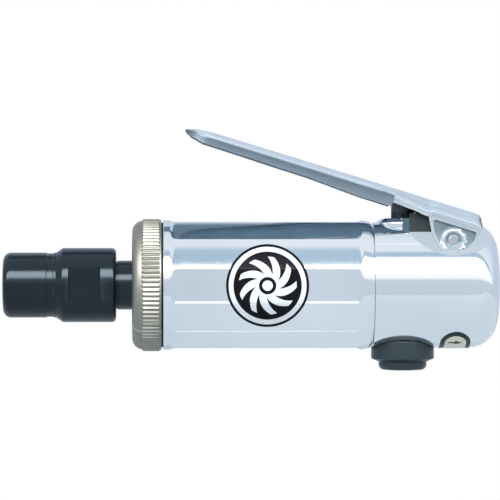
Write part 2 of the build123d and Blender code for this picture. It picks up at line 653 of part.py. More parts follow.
def regulator_knob():
    """Stepped hand knob with a slightly domed end."""
    top = KNOB_SEAT_Z - 0.1
    dome_rise = 0.45
    rim_z = KNOB_BOTTOM + dome_rise
    flat_r = KNOB_TIER_R - KNOB_TIER_ROUND
    dome_r = (flat_r ** 2 + dome_rise ** 2) / (2 * dome_rise)
    corner = arc((VALVE_X + KNOB_TIER_R, rim_z + KNOB_TIER_ROUND), (VALVE_X + flat_r, rim_z),
                 (VALVE_X + flat_r, rim_z + KNOB_TIER_ROUND))
    dome = arc((VALVE_X + flat_r, rim_z), (VALVE_X, KNOB_BOTTOM), (VALVE_X, KNOB_BOTTOM + dome_r))
    side = Polyline((VALVE_X, KNOB_BOTTOM), (VALVE_X, top), (VALVE_X + KNOB_R - EDGE, top),
                    (VALVE_X + KNOB_R, top - EDGE), (VALVE_X + KNOB_R, KNOB_EDGE_Z),
                    (VALVE_X + KNOB_TIER_R, KNOB_TIER_Z), (VALVE_X + KNOB_TIER_R, rim_z + KNOB_TIER_ROUND))
    knob = revolve(side_face(corner, dome, side), Axis((VALVE_X, 0, 0), (0, 0, 1)))
    knob -= rod_z(DRUM_STEM_R, DRUM_STEM_END, 0)
    knob -= rod_z(KNOB_THREAD_R + RUN_FIT, KNOB_BOTTOM - 1, 0)
    return knob - rod_z(KNOB_RECESS_R, KNOB_BOTTOM - 1, KNOB_BOTTOM + KNOB_RECESS_DEPTH)


def knob_screw():
    """Cheese-head screw that fixes the knob to the drum."""
    head_z = KNOB_BOTTOM + KNOB_RECESS_DEPTH
    head_height = 1.5
    screw = rod_z(KNOB_RECESS_R - 0.2, head_z - head_height, head_z)
    screw += rod_z(KNOB_THREAD_R, head_z, DRUM_STEM_END + 5.5)
    return screw - Pos(VALVE_X, 0, head_z - head_height) * Box(2 * KNOB_RECESS_R, 0.7, 1.2)


# ---------------------------------------------------------------- throttle lever
def lever_plane():
    """Plane of the lever's side view: local x towards the tip, local y square to the top."""
    slope = math.radians(LEVER_ANGLE)
    towards_tip = (-math.cos(slope), 0, math.sin(slope))
    return Plane(origin=(PIVOT_X, 0, PIVOT_Z), x_dir=towards_tip, z_dir=(0, 1, 0))


def lever_side():
    """Side outline of the lever: long flange, hood and ear."""
    tip = LEVER_REACH
    top = LEVER_TOP
    return make_face([
        Polyline((-4.8, top), (tip - 6.0, top)),
        ThreePointArc((tip - 6.0, top), (tip - 2.0, top - 0.45), (tip, top - 1.4)),
        ThreePointArc((tip, top - 1.4), (tip - 1.2, top - 2.6), (tip - 3.4, top - 3.3)),
        Polyline((tip - 3.4, top - 3.3), (tip - 7.0, 5.9), (46.0, 5.2), (30.0, 4.3), (20.3, 4.2), (20.3, 5.4),
                 (13.3, 5.0), (9.6, 4.5), (6.9, 0.5), (3.9, -2.6)),
        ThreePointArc((3.9, -2.6), (2.2, -3.7), (0.3, -3.9)),
        Polyline((0.3, -3.9), (-4.6, -2.2), (-6.6, 1.2), (-7.2, 5.2), (-4.8, top)),
    ])


def lever_form(half_width, top, bend_r, reach, outline):
    """Rounded channel section along the lever, trimmed to a side outline and a round tip."""
    side = lever_plane()
    depth = 60.0
    run = 200.0
    section = Plane(origin=side.origin, x_dir=(0, -1, 0), z_dir=side.x_dir)
    plan = Plane(origin=side.origin, x_dir=side.x_dir, z_dir=side.y_dir)
    straight = reach - half_width
    foot = Pos((straight - 20) / 2, 0) * Rectangle(straight + 20, 2 * half_width)
    foot += Pos(straight, 0) * Circle(half_width)
    channel = section * Pos(0, top - depth / 2) * RectangleRounded(2 * half_width, depth, bend_r)
    form = extrude(channel, amount=run, both=True)
    form &= extrude(side * outline, amount=depth, both=True)
    return form & extrude(plan * foot, amount=depth, both=True)


def lever_inside():
    """Hollow under the top plate, open below and at the rear."""
    roof = LEVER_TOP - LEVER_SHEET
    reach = LEVER_REACH - FLANGE_THICK
    far = 20.0
    corners = ((-far, roof), (reach - 6.0, roof), (reach, roof - 1.6), (reach, -far), (-far, -far))
    outline = make_face(Polyline(*corners, close=True))
    return lever_form(LEVER_HALF_WIDTH - FLANGE_THICK, roof, 0.5, reach, outline)


def ear_recess(side):
    """Sunk web of one ear, inside its rim and round the pin boss."""
    corners = ((7.3, 3.9), (5.9, 0.6), (3.4, -1.8), (0.3, -2.8), (-3.8, -1.4), (-5.6, 1.6), (-6.0, 3.9))
    web = make_face(Polyline(*corners, close=True))
    plane = lever_plane()
    sunk = 0.5
    block = extrude(plane * web, amount=2 * LEVER_HALF_WIDTH, both=True)
    block &= Pos(PIVOT_X, side * (EAR_HALF_WIDTH - sunk + 5), PIVOT_Z) * Box(40, 10, 40)
    return block - rod_y(PIN_R + 1.7, -2 * EAR_HALF_WIDTH, 2 * EAR_HALF_WIDTH, PIVOT_X, PIVOT_Z)


def ear_step(side):
    """Cut that sets the ear in below the hood."""
    below = make_face(Polyline((9.5, 5.2), (-20, 5.2), (-20, -20), (9.5, -20), close=True))
    block = extrude(lever_plane() * below, amount=2 * LEVER_HALF_WIDTH, both=True)
    return block & Pos(PIVOT_X, side * (EAR_HALF_WIDTH + 5), PIVOT_Z) * Box(60, 10, 60)


def throttle_lever():
    """Cast lever: channel-shaped handle, hood and two ears on the pivot pin."""
    lever = lever_form(LEVER_HALF_WIDTH, LEVER_TOP, LEVER_BEND_R, LEVER_REACH, lever_side()) - lever_inside()
    lever -= [ear_step(side) + ear_recess(side) for side in (-1, 1)]
    return lever - rod_y(PIN_R + RUN_FIT, -2 * EAR_HALF_WIDTH, 2 * EAR_HALF_WIDTH, PIVOT_X, PIVOT_Z)


def lever_pin():
    """Roll pin through the ears and the head's tongue."""
    return rod_y(PIN_R, -EAR_HALF_WIDTH, EAR_HALF_WIDTH, PIVOT_X, PIVOT_Z)


# ---------------------------------------------------------------- inlet and exhaust
def inlet_bushing():
    """Screwed-in inlet with pipe thread, sealing spigot and a ring of exhaust holes."""
    flange_x = TOOL_REAR - FLANGE_LENGTH
    thread_x = TOOL_REAR - INLET_DEPTH
    seat_x = thread_x - SCREEN_GAP - SCREEN_THICK
    waist_r = INLET_SEAT_R - LOOSE_FIT
    bush = turned(
        (INLET_SEAT_X, INLET_DUCT_R), (INLET_SEAT_X, INLET_SEAT_R), (GALLERY_X, INLET_SEAT_R),
        (GALLERY_X, waist_r), (flange_x, waist_r), (flange_x, GALLERY_R), (TOOL_REAR - EDGE, GALLERY_R),
        (TOOL_REAR, GALLERY_R - EDGE), (TOOL_REAR, INLET_R + THREAD_CHAMFER),
        (TOOL_REAR - THREAD_CHAMFER, INLET_R), (thread_x, INLET_R), (thread_x, SCREEN_R),
        (seat_x, SCREEN_R), (seat_x, INLET_DUCT_R))
    hole = rod_x(EXHAUST_R, flange_x - 1, TOOL_REAR + 1, 0, (INLET_R + GALLERY_R) / 2 + 0.45)
    bush -= [around_x(hole, index * 360 / EXHAUST_COUNT) for index in range(EXHAUST_COUNT)]
    seal_x = INLET_SEAT_X + INLET_SEAL
    half_width = 0.6
    return bush - tube_x(INLET_SEAT_R + 1, INLET_SEAT_R - 1, seal_x - half_width, seal_x + half_width)


def inlet_o_ring():
    """Seal on the inlet bushing's spigot."""
    return o_ring_x(INLET_SEAT_X + INLET_SEAL, INLET_SEAT_R - 0.5, 0.5)


def inlet_screen():
    """Perforated strainer disc at the bottom of the inlet."""
    seat_x = TOOL_REAR - INLET_DEPTH - SCREEN_GAP - SCREEN_THICK
    disc = rod_x(SCREEN_R, seat_x, seat_x + SCREEN_THICK)
    holes = []
    for ring_r, count in ((0, 1), (1.6, 6), (3.2, 12)):
        for index in range(count):
            hole = rod_x(SCREEN_HOLE_R, seat_x - 1, seat_x + 2, 0, ring_r)
            holes.append(around_x(hole, index * 360 / count))
    return disc - holes


def exhaust_muffler():
    """Felt sleeve in the exhaust gallery."""
    end = TOOL_REAR - FLANGE_LENGTH
    return tube_x(GALLERY_R, INLET_SEAT_R - LOOSE_FIT, GALLERY_X + 3.5, end)


# ---------------------------------------------------------------- badge and label
def barrel_prism(offset):
    """Bar with the barrel's crowned flats, grown by an offset."""
    x0 = BADGE_X - BADGE_R - 1
    x1 = BADGE_X + BADGE_R + 1
    bar = rod_x(BARREL_R + 3, x0, x1)
    crown = rod_x(FLAT_CROWN_R + offset, x0, x1, 0, FLAT_MID_R - FLAT_CROWN_R)
    for index in range(FLAT_COUNT // 4, 3 * FLAT_COUNT // 4 + 1):
        bar &= around_x(crown, index * 360 / FLAT_COUNT - 90)
    return bar


def badge():
    """Round badge that follows the barrel's flats on the near side."""
    disc = rod_y(BADGE_R, -2 * BARREL_R, 0, BADGE_X, 0)
    return disc & barrel_prism(SKIN) - barrel_prism(0)


def regulator_label():
    """Obround foil label wrapped under the head beside the regulator."""
    span = 2 * (LABEL_HALF_SPAN - LABEL_HALF_WIDTH)
    outline = Rectangle(2 * LABEL_HALF_WIDTH, span)
    for side in (-1, 1):
        outline += Pos(0, side * span / 2) * Circle(LABEL_HALF_WIDTH)
    prism = Pos(LABEL_X, 0, -2 * HEAD_R) * extrude(outline, amount=2 * HEAD_R)
    return prism & tube_x(HEAD_R + SKIN, HEAD_R, LABEL_X - 10, LABEL_X + 10)


def all_parts():
    """Every node of the assembly by name."""
    parts = {
        "collet_nut": collet_nut(),
        "collet": collet(),
        "collet_body": collet_body(),
        "clamp_nut": clamp_nut(),
        "dust_seal": dust_seal(),
        "rotor": rotor(),
        "rotor_snap_ring": rotor_ring(),
        "cylinder": cylinder(),
        "cylinder_pin": cylinder_pin(),
        "front_end_plate": front_end_plate(),
        "rear_end_plate": rear_end_plate(),
        "disc_spring": disc_spring(),
        "housing": housing(),
        "valve_bushing": valve_bushing(),
        "valve_plunger": valve_plunger(),
        "plunger_o_ring": plunger_o_ring(),
        "valve_seat": valve_seat(),
        "throttle_valve": throttle_valve(),
        "valve_spring": valve_spring(),
        "regulator_drum": regulator_drum(),
        "regulator_o_ring": regulator_o_ring(),
        "regulator_snap_ring": retaining_ring(),
        "regulator_knob": regulator_knob(),
        "knob_screw": knob_screw(),
        "throttle_lever": throttle_lever(),
        "lever_pin": lever_pin(),
        "inlet_bushing": inlet_bushing(),
        "inlet_o_ring": inlet_o_ring(),
        "inlet_screen": inlet_screen(),
        "exhaust_muffler": exhaust_muffler(),
        "badge": badge(),
        "regulator_label": regulator_label(),
    }
    for index in range(VANE_COUNT):
        parts[f"rotor_vane_{index + 1}"] = rotor_vane(index)
    seats = (("front", FRONT_BEARING, FRONT_PLATE_X), ("rear", REAR_BEARING, REAR_BEARING_X))
    for name, bearing, x0 in seats:
        outer, inner, cage, balls = bearing_pieces(bearing, x0)
        parts[f"{name}_bearing_outer_race"] = outer
        parts[f"{name}_bearing_inner_race"] = inner
        parts[f"{name}_bearing_cage"] = cage
        parts[f"{name}_bearing_balls"] = balls
    return parts


os.makedirs("parts", exist_ok=True)
for node, shape in all_parts().items():
    export_step(shape, f"parts/{node}.step")
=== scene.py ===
import json
import math

import bmesh
import bpy
from mathutils import Matrix, Vector


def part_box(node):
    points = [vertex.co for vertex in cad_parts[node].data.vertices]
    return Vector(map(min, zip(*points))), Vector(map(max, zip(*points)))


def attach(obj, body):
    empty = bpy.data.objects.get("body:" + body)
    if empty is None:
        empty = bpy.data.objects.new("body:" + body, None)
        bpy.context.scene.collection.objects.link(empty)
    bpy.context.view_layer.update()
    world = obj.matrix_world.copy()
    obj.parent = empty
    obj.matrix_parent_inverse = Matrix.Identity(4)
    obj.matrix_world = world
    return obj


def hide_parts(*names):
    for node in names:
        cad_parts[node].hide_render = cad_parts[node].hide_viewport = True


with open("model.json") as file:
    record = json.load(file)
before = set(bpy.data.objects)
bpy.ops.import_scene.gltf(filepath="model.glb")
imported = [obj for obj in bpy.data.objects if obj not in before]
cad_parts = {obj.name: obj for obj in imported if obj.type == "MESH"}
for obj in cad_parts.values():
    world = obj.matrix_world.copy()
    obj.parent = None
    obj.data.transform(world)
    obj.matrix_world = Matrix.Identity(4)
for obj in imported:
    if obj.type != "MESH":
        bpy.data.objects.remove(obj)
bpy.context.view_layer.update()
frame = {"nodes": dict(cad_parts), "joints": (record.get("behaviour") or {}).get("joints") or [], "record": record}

# ---------------------------------------------------------------- barrel and head
# The body is one turned aluminium bar, bored for the motor and polished bright. Twelve slightly
# crowned flats are milled along the barrel. The head stays round, with a pocket each side for
# the lever's ears, a boss and a notch for the plunger, and a spot face for the regulator.

MM = 0.001


def grind(piece, sharp_degrees=18):
    """Smooth shading with crisp edges where two faces meet at more than a small angle."""
    mesh = piece.data
    work = bmesh.new()
    work.from_mesh(mesh)
    bmesh.ops.recalc_face_normals(work, faces=work.faces)
    limit = math.radians(sharp_degrees)
    for face in work.faces:
        face.smooth = True
    for edge in work.edges:
        edge.smooth = len(edge.link_faces) == 2 and edge.calc_face_angle(0) < limit
    work.to_mesh(mesh)
    work.free()
    return piece


def solid(name, points, faces):
    """Piece made from points in millimetres and faces that index them."""
    mesh = bpy.data.meshes.new(name)
    mesh.from_pydata([Vector(point) * MM for point in points], [], faces)
    work = bmesh.new()
    work.from_mesh(mesh)
    bmesh.ops.remove_doubles(work, verts=work.verts, dist=1e-7)
    bmesh.ops.dissolve_degenerate(work, edges=work.edges, dist=1e-8)
    bmesh.ops.recalc_face_normals(work, faces=work.faces)
    work.to_mesh(mesh)
    work.free()
    piece = bpy.data.objects.new(name, mesh)
    bpy.context.scene.collection.objects.link(piece)
    return piece


def rounded(corners, steps=8):
    """Outline through corners given as (along, radius, rounding), with each rounding as an arc."""
    outline = []
    count = len(corners)
    for index, (along, radius, rounding) in enumerate(corners):
        here = Vector((along, radius))
        if not rounding:
            outline.append(tuple(here))
            continue
        before = Vector(corners[index - 1][:2]) - here
        after = Vector(corners[(index + 1) % count][:2]) - here
        half = before.angle(after) / 2
        reach = rounding / math.tan(half)
        centre = here + (before.normalized() + after.normalized()).normalized() * rounding / math.sin(half)
        first = here + before.normalized() * reach - centre
        last = here + after.normalized() * reach - centre
        turn = first.angle_signed(last)
        for step in range(steps + 1):
            angle = -turn * step / steps
            spoke = Vector((first.x * math.cos(angle) - first.y * math.sin(angle),
                            first.x * math.sin(angle) + first.y * math.cos(angle)))
            outline.append(tuple(centre + spoke))
    return outline


def ring_faces(rings, steps, closed):
    """Faces between neighbouring rings of points; closed joins the last ring to the first."""
    faces = []
    for ring in range(rings if closed else rings - 1):
        a, b = ring * steps, ((ring + 1) % rings) * steps
        for step in range(steps):
            after = (step + 1) % steps
            faces.append((a + step, a + after, b + after, b + step))
    return faces


def lathe(name, outline, steps=180, shape=None, upright_at=None, closed=False):
    """Turned piece. It lies along X, or stands along Z at the given X; shape may alter the radius."""
    points = []
    for along, radius in outline:
        for step in range(steps):
            angle = 2 * math.pi * step / steps
            r = shape(along, radius, angle) if shape else radius
            across, up = r * math.cos(angle), r * math.sin(angle)
            points.append((along, across, up) if upright_at is None else (upright_at + across, up, along))
    return grind(solid(name, points, ring_faces(len(outline), steps, closed)))


def bar(name, radius, start, end, axis, centre, steps=128):
    """Plain round cutter along one axis; centre gives its other two coordinates."""
    points = []
    for along in (start, end):
        for step in range(steps):
            angle = 2 * math.pi * (step + 0.5) / steps
            u, v = radius * math.cos(angle), radius * math.sin(angle)
            point = {"X": (along, centre[0] + u, centre[1] + v),
                     "Y": (centre[0] + u, along, centre[1] + v),
                     "Z": (centre[0] + u, centre[1] + v, along)}[axis]
            points.append(point)
    faces = [tuple(range(steps)), tuple(range(2 * steps - 1, steps - 1, -1))]
    for step in range(steps):
        after = (step + 1) % steps
        faces.append((step, after, steps + after, steps + step))
    return solid(name, points, faces)


def block(name, x_ends, y_ends, z_ends, turned=None):
    """Square block or cutter between two ends along each axis, turned by a matrix if one is given."""
    points = [(x, y, z) for x in x_ends for y in y_ends for z in z_ends]
    if turned:
        points = [turned @ Vector(point) for point in points]
    return solid(name, points, [(0, 1, 3, 2), (4, 6, 7, 5), (0, 4, 5, 1), (2, 3, 7, 6), (0, 2, 6, 4),
                                (1, 5, 7, 3)])


def machine(piece, tool, operation="DIFFERENCE"):
    """Cuts a piece with a tool, or joins the tool to it, and removes the tool."""
    change = piece.modifiers.new("machine", "BOOLEAN")
    change.object = tool
    change.operation = operation
    change.solver = "EXACT"
    bpy.context.view_layer.update()
    result = bpy.data.meshes.new_from_object(piece.evaluated_get(bpy.context.evaluated_depsgraph_get()))
    piece.modifiers.clear()
    old = piece.data
    piece.data = result
    bpy.data.meshes.remove(old)
    bpy.data.objects.remove(tool)
    return piece


def metal(name, light, dark, rough, grain=(40, 900, 900), bump=0.02, metallic=1.0, spots=25, edge=None,
          gloss=0.5):
    """Finish of a metal, or of plastic or rubber at metallic 0: cloudy tone, fine grain, worn edges."""
    material = bpy.data.materials.new(name)
    material.use_nodes = True
    tree = material.node_tree
    shader = tree.nodes["Principled BSDF"]
    shader.inputs["Metallic"].default_value = metallic
    shader.inputs["Specular IOR Level"].default_value = gloss
    place = tree.nodes.new("ShaderNodeTexCoord")
    stretch = tree.nodes.new("ShaderNodeMapping")
    stretch.inputs["Scale"].default_value = grain
    tree.links.new(place.outputs["Object"], stretch.inputs["Vector"])
    cloud = tree.nodes.new("ShaderNodeTexNoise")
    cloud.inputs["Scale"].default_value = spots
    cloud.inputs["Detail"].default_value = 4
    tree.links.new(place.outputs["Object"], cloud.inputs["Vector"])
    tone = tree.nodes.new("ShaderNodeMix")
    tone.data_type = "RGBA"
    tone.inputs["A"].default_value = (*light, 1)
    tone.inputs["B"].default_value = (*dark, 1)
    spread = tree.nodes.new("ShaderNodeMapRange")
    spread.inputs["From Min"].default_value = 0.4
    spread.inputs["From Max"].default_value = 0.7
    tree.links.new(cloud.outputs["Fac"], spread.inputs["Value"])
    tree.links.new(spread.outputs["Result"], tone.inputs["Factor"])
    colour = tone.outputs["Result"]
    if edge:
        corner = tree.nodes.new("ShaderNodeNewGeometry")
        worn = tree.nodes.new("ShaderNodeMapRange")
        worn.inputs["From Min"].default_value = 0.53
        worn.inputs["From Max"].default_value = 0.62
        rub = tree.nodes.new("ShaderNodeMix")
        rub.data_type = "RGBA"
        rub.inputs["B"].default_value = (*edge, 1)
        tree.links.new(corner.outputs["Pointiness"], worn.inputs["Value"])
        tree.links.new(worn.outputs["Result"], rub.inputs["Factor"])
        tree.links.new(colour, rub.inputs["A"])
        colour = rub.outputs["Result"]
    tree.links.new(colour, shader.inputs["Base Color"])
    scratch = tree.nodes.new("ShaderNodeTexNoise")
    scratch.inputs["Scale"].default_value = 1
    scratch.inputs["Detail"].default_value = 6
    tree.links.new(stretch.outputs["Vector"], scratch.inputs["Vector"])
    polish = tree.nodes.new("ShaderNodeMapRange")
    polish.inputs["To Min"].default_value = rough[0]
    polish.inputs["To Max"].default_value = rough[1]
    tree.links.new(scratch.outputs["Fac"], polish.inputs["Value"])
    tree.links.new(polish.outputs["Result"], shader.inputs["Roughness"])
    relief = tree.nodes.new("ShaderNodeBump")
    relief.inputs["Strength"].default_value = bump
    relief.inputs["Distance"].default_value = 0.0001
    tree.links.new(scratch.outputs["Fac"], relief.inputs["Height"])
    tree.links.new(relief.outputs["Normal"], shader.inputs["Normal"])
    return material


dressed = set()


def fit(piece, body, replaced, finish):
    """Puts a finished piece on its body in place of its plain form."""
    dressed.update(replaced)
    piece.data.materials.clear()
    piece.data.materials.append(finish)
    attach(piece, body)
    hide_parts(*replaced)
    return piece


low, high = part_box("housing")
barrel_front = low.x / MM
tool_rear = high.x / MM
barrel_r = high.y / MM
bore_r = 16.0
barrel_rear = barrel_front + 60.2
head_front = barrel_rear + 1.2
head_r = 18.4
head_rear_r = 8.2
groove_r = 17.9
flat_inset = 1.4
flat_end_r = 2.2
flat_mid_r = 18.55
crown_r = 60.0
flat_count = 12
crown_offset = flat_mid_r - crown_r
gallery_r = 9.8
gallery_x = tool_rear - 14.0
motor_wall_x = 105.6


def milled(along, radius, angle):
    """Radius of the barrel with its crowned flats and their rounded run-outs."""
    start, end = barrel_front + flat_inset, barrel_rear - flat_inset
    if radius < barrel_r - 0.01 or not start < along < end:
        return radius
    inset = min(along - start, end - along)
    rise = 0.0
    if inset < flat_end_r:
        rise = flat_end_r - math.sqrt(flat_end_r ** 2 - (flat_end_r - inset) ** 2)
    step = 2 * math.pi / flat_count
    off = (angle + step / 2) % step - step / 2
    reach = crown_r + rise
    flat = crown_offset * math.cos(off) + math.sqrt(reach ** 2 - (crown_offset * math.sin(off)) ** 2)
    return min(radius, flat)


flat_start, flat_end = barrel_front + flat_inset, barrel_rear - flat_inset
run_outs = [flat_end_r * (1 - math.cos(math.pi / 2 * step / 8)) for step in range(9)]
stations = [flat_start + offset for offset in run_outs]
level = flat_end - flat_start - 2 * flat_end_r
stations += [flat_start + flat_end_r + level * step / 6 for step in range(1, 6)]
stations += [flat_end - offset for offset in reversed(run_outs)]
outline = rounded([(motor_wall_x, 0, 0), (motor_wall_x, bore_r, 0), (barrel_front, bore_r, 0.3),
                   (barrel_front, barrel_r, 0.45), (flat_start, barrel_r, 0)])
outline += [(along, barrel_r) for along in stations[1:]]
outline += rounded([(barrel_rear, barrel_r, 0.35), (barrel_rear, groove_r, 0.2), (head_front, groove_r, 0.2),
                    (head_front, head_r, 0.3), (tool_rear, head_r, head_rear_r), (tool_rear, gallery_r, 0.3),
                    (gallery_x, gallery_r, 0), (gallery_x, 0, 0)], steps=14)
housing = lathe("housing_body", outline, steps=360, shape=milled)

valve_x = (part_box("valve_plunger")[0].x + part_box("valve_plunger")[1].x) / 2 / MM
boss_top = high.z / MM
boss_foot, boss_r, boss_top_r = 8, 8.0, 6.1
outline = rounded([(boss_foot, 0, 0), (boss_foot, boss_r, 0), (head_r, boss_r, 0.5),
                   (boss_top, boss_top_r, 0.35), (boss_top, 0, 0)])
boss = lathe("boss", outline, steps=128, upright_at=valve_x)
pivot = Vector([joint for joint in frame["joints"] if joint["name"] == "lever_press"][0]["pos_m"]) / MM
pocket = (131.8, 25.0)
pocket_r = 16.4
tongue = 5.9
relief_z = 15.6
outside = 30
machine(housing, boss, "UNION")
for side in (-1, 1):
    ends = sorted((side * tongue, side * outside))
    machine(housing, bar("pocket", pocket_r, ends[0], ends[1], "Y", pocket))
relief_x, relief_rear = valve_x + 1.6, valve_x + 8.8
machine(housing, block("relief", (relief_x, relief_rear), (-20, 20), (relief_z, outside)))
cheek_x, cheek_y = valve_x - 0.6, tongue - 0.2
for side in (-1, 1):
    machine(housing, block("cheek", (cheek_x, relief_x + 0.01), (side * cheek_y, side * 20),
                           (relief_z, outside)))
knob_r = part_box("regulator_knob")[1].y / MM
spot_z, drum_r, chamber_r, chamber_top, guide_r = -16.2, 7.0, 6.0, 13.5, 4.6
for name, radius, start, end in (("spot_face", knob_r + 0.3, -40, spot_z), ("drum_bore", drum_r, -30, 7),
                                 ("valve_chamber", chamber_r, 6, chamber_top),
                                 ("plunger_bore", guide_r, chamber_top - 1, outside)):
    machine(housing, bar(name, radius, start, end, "Z", (valve_x, 0)))
seat_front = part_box("inlet_bushing")[0].x / MM
air_duct_r, air_duct_z, duct_r, seat_bore_r, pin_bore_r = 2.0, 11.25, 4.0, 7.25, 1.62
machine(housing, bar("air_duct", air_duct_r, motor_wall_x - 1, valve_x, "X", (0, air_duct_z), steps=32))
machine(housing, bar("inlet_duct", duct_r, valve_x, seat_front + 1, "X", (0, 0), steps=64))
machine(housing, bar("inlet_seat", seat_bore_r, seat_front - 0.02, gallery_x + 1, "X", (0, 0)))
machine(housing, bar("pin_bore", pin_bore_r, -10, 10, "Y", (pivot.x, pivot.z), steps=48))
grind(housing)
bright = metal("polished_aluminium", (0.90, 0.92, 0.94), (0.82, 0.85, 0.88), (0.05, 0.11),
               grain=(900, 60, 60), bump=0.015, edge=(0.97, 0.98, 0.99))
fit(housing, "housing", ["housing"], bright)
# A painted highlight runs as a bright line along the lower corners between the flats, and
# the cheeks of the notch are painted dark as shade.
corner_highlight_paint = metal("painted_corner_highlight", (0.98, 0.98, 0.98), (0.93, 0.94, 0.95), (0.50, 0.60),
                    grain=(200, 60, 60), bump=0.02)
cheek_shade_paint = metal("cheek_shadow", (0.11, 0.17, 0.21), (0.08, 0.13, 0.165), (0.30, 0.40),
                   grain=(200, 60, 60), bump=0.05)
housing.data.materials.append(corner_highlight_paint)
housing.data.materials.append(cheek_shade_paint)
# Lower flat corners take the painted highlight; the notch's cheek faces take the painted shade.
for polygon in housing.data.polygons:
    x, y, z = polygon.center / MM
    lean = math.degrees(math.atan2(z, -y)) % 30 - 15
    on_flats = flat_start + flat_end_r < x < flat_end - flat_end_r and math.hypot(y, z) > flat_mid_r
    if on_flats and z < 0 and abs(lean) < 1.0:
        polygon.material_index = 1
    if abs(abs(y) - cheek_y) < 0.02 and abs(polygon.normal.y) > 0.99 and z > relief_z and x < relief_x:
        polygon.material_index = 2

# ---------------------------------------------------------------- clamp nut
# A nickel-plated steel nut screws into the barrel and clamps the motor stack. Its front edge
# is well rounded and a straight knurl is rolled round the rim for tightening by hand. The narrow
# seam where it meets the barrel is painted near-black as shade.

clamp_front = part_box("clamp_nut")[0].x / MM
clamp_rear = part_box("clamp_nut")[1].x / MM
knurl_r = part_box("clamp_nut")[1].y / MM
knurl_depth = 0.34
knurl_teeth = 90
knurl_start = clamp_front + 3.0
knurl_end = knurl_start + 5.1
rim_r = 19.1
stack_r = 15.95
lip_x = clamp_front + 5.2
seam_x, seam_r = barrel_front - 0.42, 18.3


def knurled(along, radius, angle):
    """Radius of the clamp nut, with rolled teeth that fade out at both ends of the knurl."""
    depth = min(along - knurl_start, knurl_end - along)
    if radius < rim_r - 0.3 or depth <= 0.01:
        return radius
    tooth = knurl_r - knurl_depth * (0.5 - 0.5 * math.cos(knurl_teeth * angle)) ** 0.8
    return radius + (tooth - radius) * min(1.0, depth / 0.25)


rim_start, rim_end = knurl_start + 0.3, knurl_end - 0.3
outline = rounded([(clamp_front, 7.5, 0.3), (clamp_front, rim_r - 0.2, 3.2),
                   (knurl_start + 0.2, rim_r - 0.2, 0), (rim_start, rim_r - 0.1, 0),
                   (rim_end, rim_r - 0.1, 0), (knurl_end, rim_r, 0),
                   (seam_x, rim_r, 0.3), (seam_x, seam_r, 0), (barrel_front, seam_r, 0),
                   (barrel_front, stack_r, 0), (clamp_rear, stack_r, 0), (clamp_rear, 12.0, 0),
                   (lip_x, 12.0, 0), (lip_x, 7.5, 0)], steps=12)
clamp_nut = lathe("clamp_nut_body", outline, steps=knurl_teeth * 10, shape=knurled, closed=True)
satin_nickel = metal("satin_nickel", (0.33, 0.315, 0.27), (0.25, 0.245, 0.215), (0.40, 0.54),
                     grain=(300, 80, 80), bump=0.06, edge=(0.52, 0.50, 0.44))
fit(clamp_nut, "housing", ["clamp_nut"], satin_nickel)
# Near-black painted shade for the seam faces where the nut meets the barrel.
seam_painted_shade = metal("seam_painted_shade", (0.020, 0.024, 0.028), (0.012, 0.015, 0.018), (0.5, 0.7), metallic=0.0,
                  gloss=0.2)
clamp_nut.data.materials.append(seam_painted_shade)
for polygon in clamp_nut.data.polygons:
    x, y, z = polygon.center / MM
    if x > seam_x - 0.01 and seam_r - 0.1 < math.hypot(y, z) < rim_r - 0.25:
        polygon.material_index = 1

# ---------------------------------------------------------------- collet nut, collet and chuck body
# The chuck body screws on the rotor stub. The nut draws the split collet into its taper; all
# three are turned from steel, and the nut and body are hot-blackened and oiled.

nut_low, nut_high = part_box("collet_nut")
nut_length = nut_high.x / MM
nut_front_r = 9.55
nut_rear_r = nut_high.z / MM
step_x = 15.5
mouth_r, thread_r, taper_end = 4.26, 7.05, 4.8
outline = rounded([(0, mouth_r, 0.15), (0, nut_front_r, 2.3), (step_x - 2.8, nut_front_r, 0.1),
                   (step_x - 2.6, nut_front_r - 0.2, 0.1), (step_x - 0.8, nut_front_r - 0.2, 0.1),
                   (step_x - 0.6, nut_front_r, 0.1), (step_x, nut_front_r, 0.5),
                   (step_x + 2, nut_rear_r, 0.6), (nut_length, nut_rear_r, 1.3), (nut_length, thread_r, 0.2),
                   (taper_end, thread_r, 0), (1.0, mouth_r, 0)], steps=10)
collet_nut = lathe("collet_nut_body", outline, steps=192, closed=True)
flat_x, flat_length, across = 19.2, 9.4, 19.0
for side in (-1, 1):
    y_ends = (side * across / 2, side * (across / 2 + 4))
    machine(collet_nut, block("wrench_flat", (flat_x, flat_x + flat_length), y_ends, (-15, 15)))
grind(collet_nut, 14)
black_oxide = metal("black_oxide", (0.003, 0.006, 0.009), (0.002, 0.004, 0.006), (0.13, 0.22),
                    grain=(30, 700, 700), bump=0.03, metallic=0.0, edge=(0.02, 0.03, 0.04), gloss=0.4)
black_oxide.node_tree.nodes["Principled BSDF"].inputs["Specular Tint"].default_value = (0.72, 0.88, 1.0, 1)
fit(collet_nut, "collet_nut", ["collet_nut"], black_oxide)

neck_r = 7.2
body_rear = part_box("collet_body")[1].x / MM
socket_front, socket_r, bore_floor = 39.0, 4.7, 37.0
chuck_front, seat_end, shank_bore_r = 10.0, 25.0, 3.475
outline = rounded([(chuck_front, 6.35, 0.1), (chuck_front, 7.0, 0.3), (nut_length + 0.5, 7.0, 0),
                   (nut_length + 0.5, neck_r, 0.15), (lip_x, neck_r, 0), (lip_x, neck_r - 0.6, 0),
                   (body_rear, neck_r - 0.6, 0), (body_rear, socket_r, 0), (socket_front, socket_r, 0),
                   (socket_front, 0, 0), (bore_floor, 0, 0), (bore_floor, shank_bore_r, 0),
                   (seat_end, shank_bore_r, 0), (seat_end, 5.15, 0)], steps=6)
chuck_body = lathe("chuck_body", outline, steps=144, closed=True)
fit(chuck_body, "spindle", ["collet_body"], black_oxide)

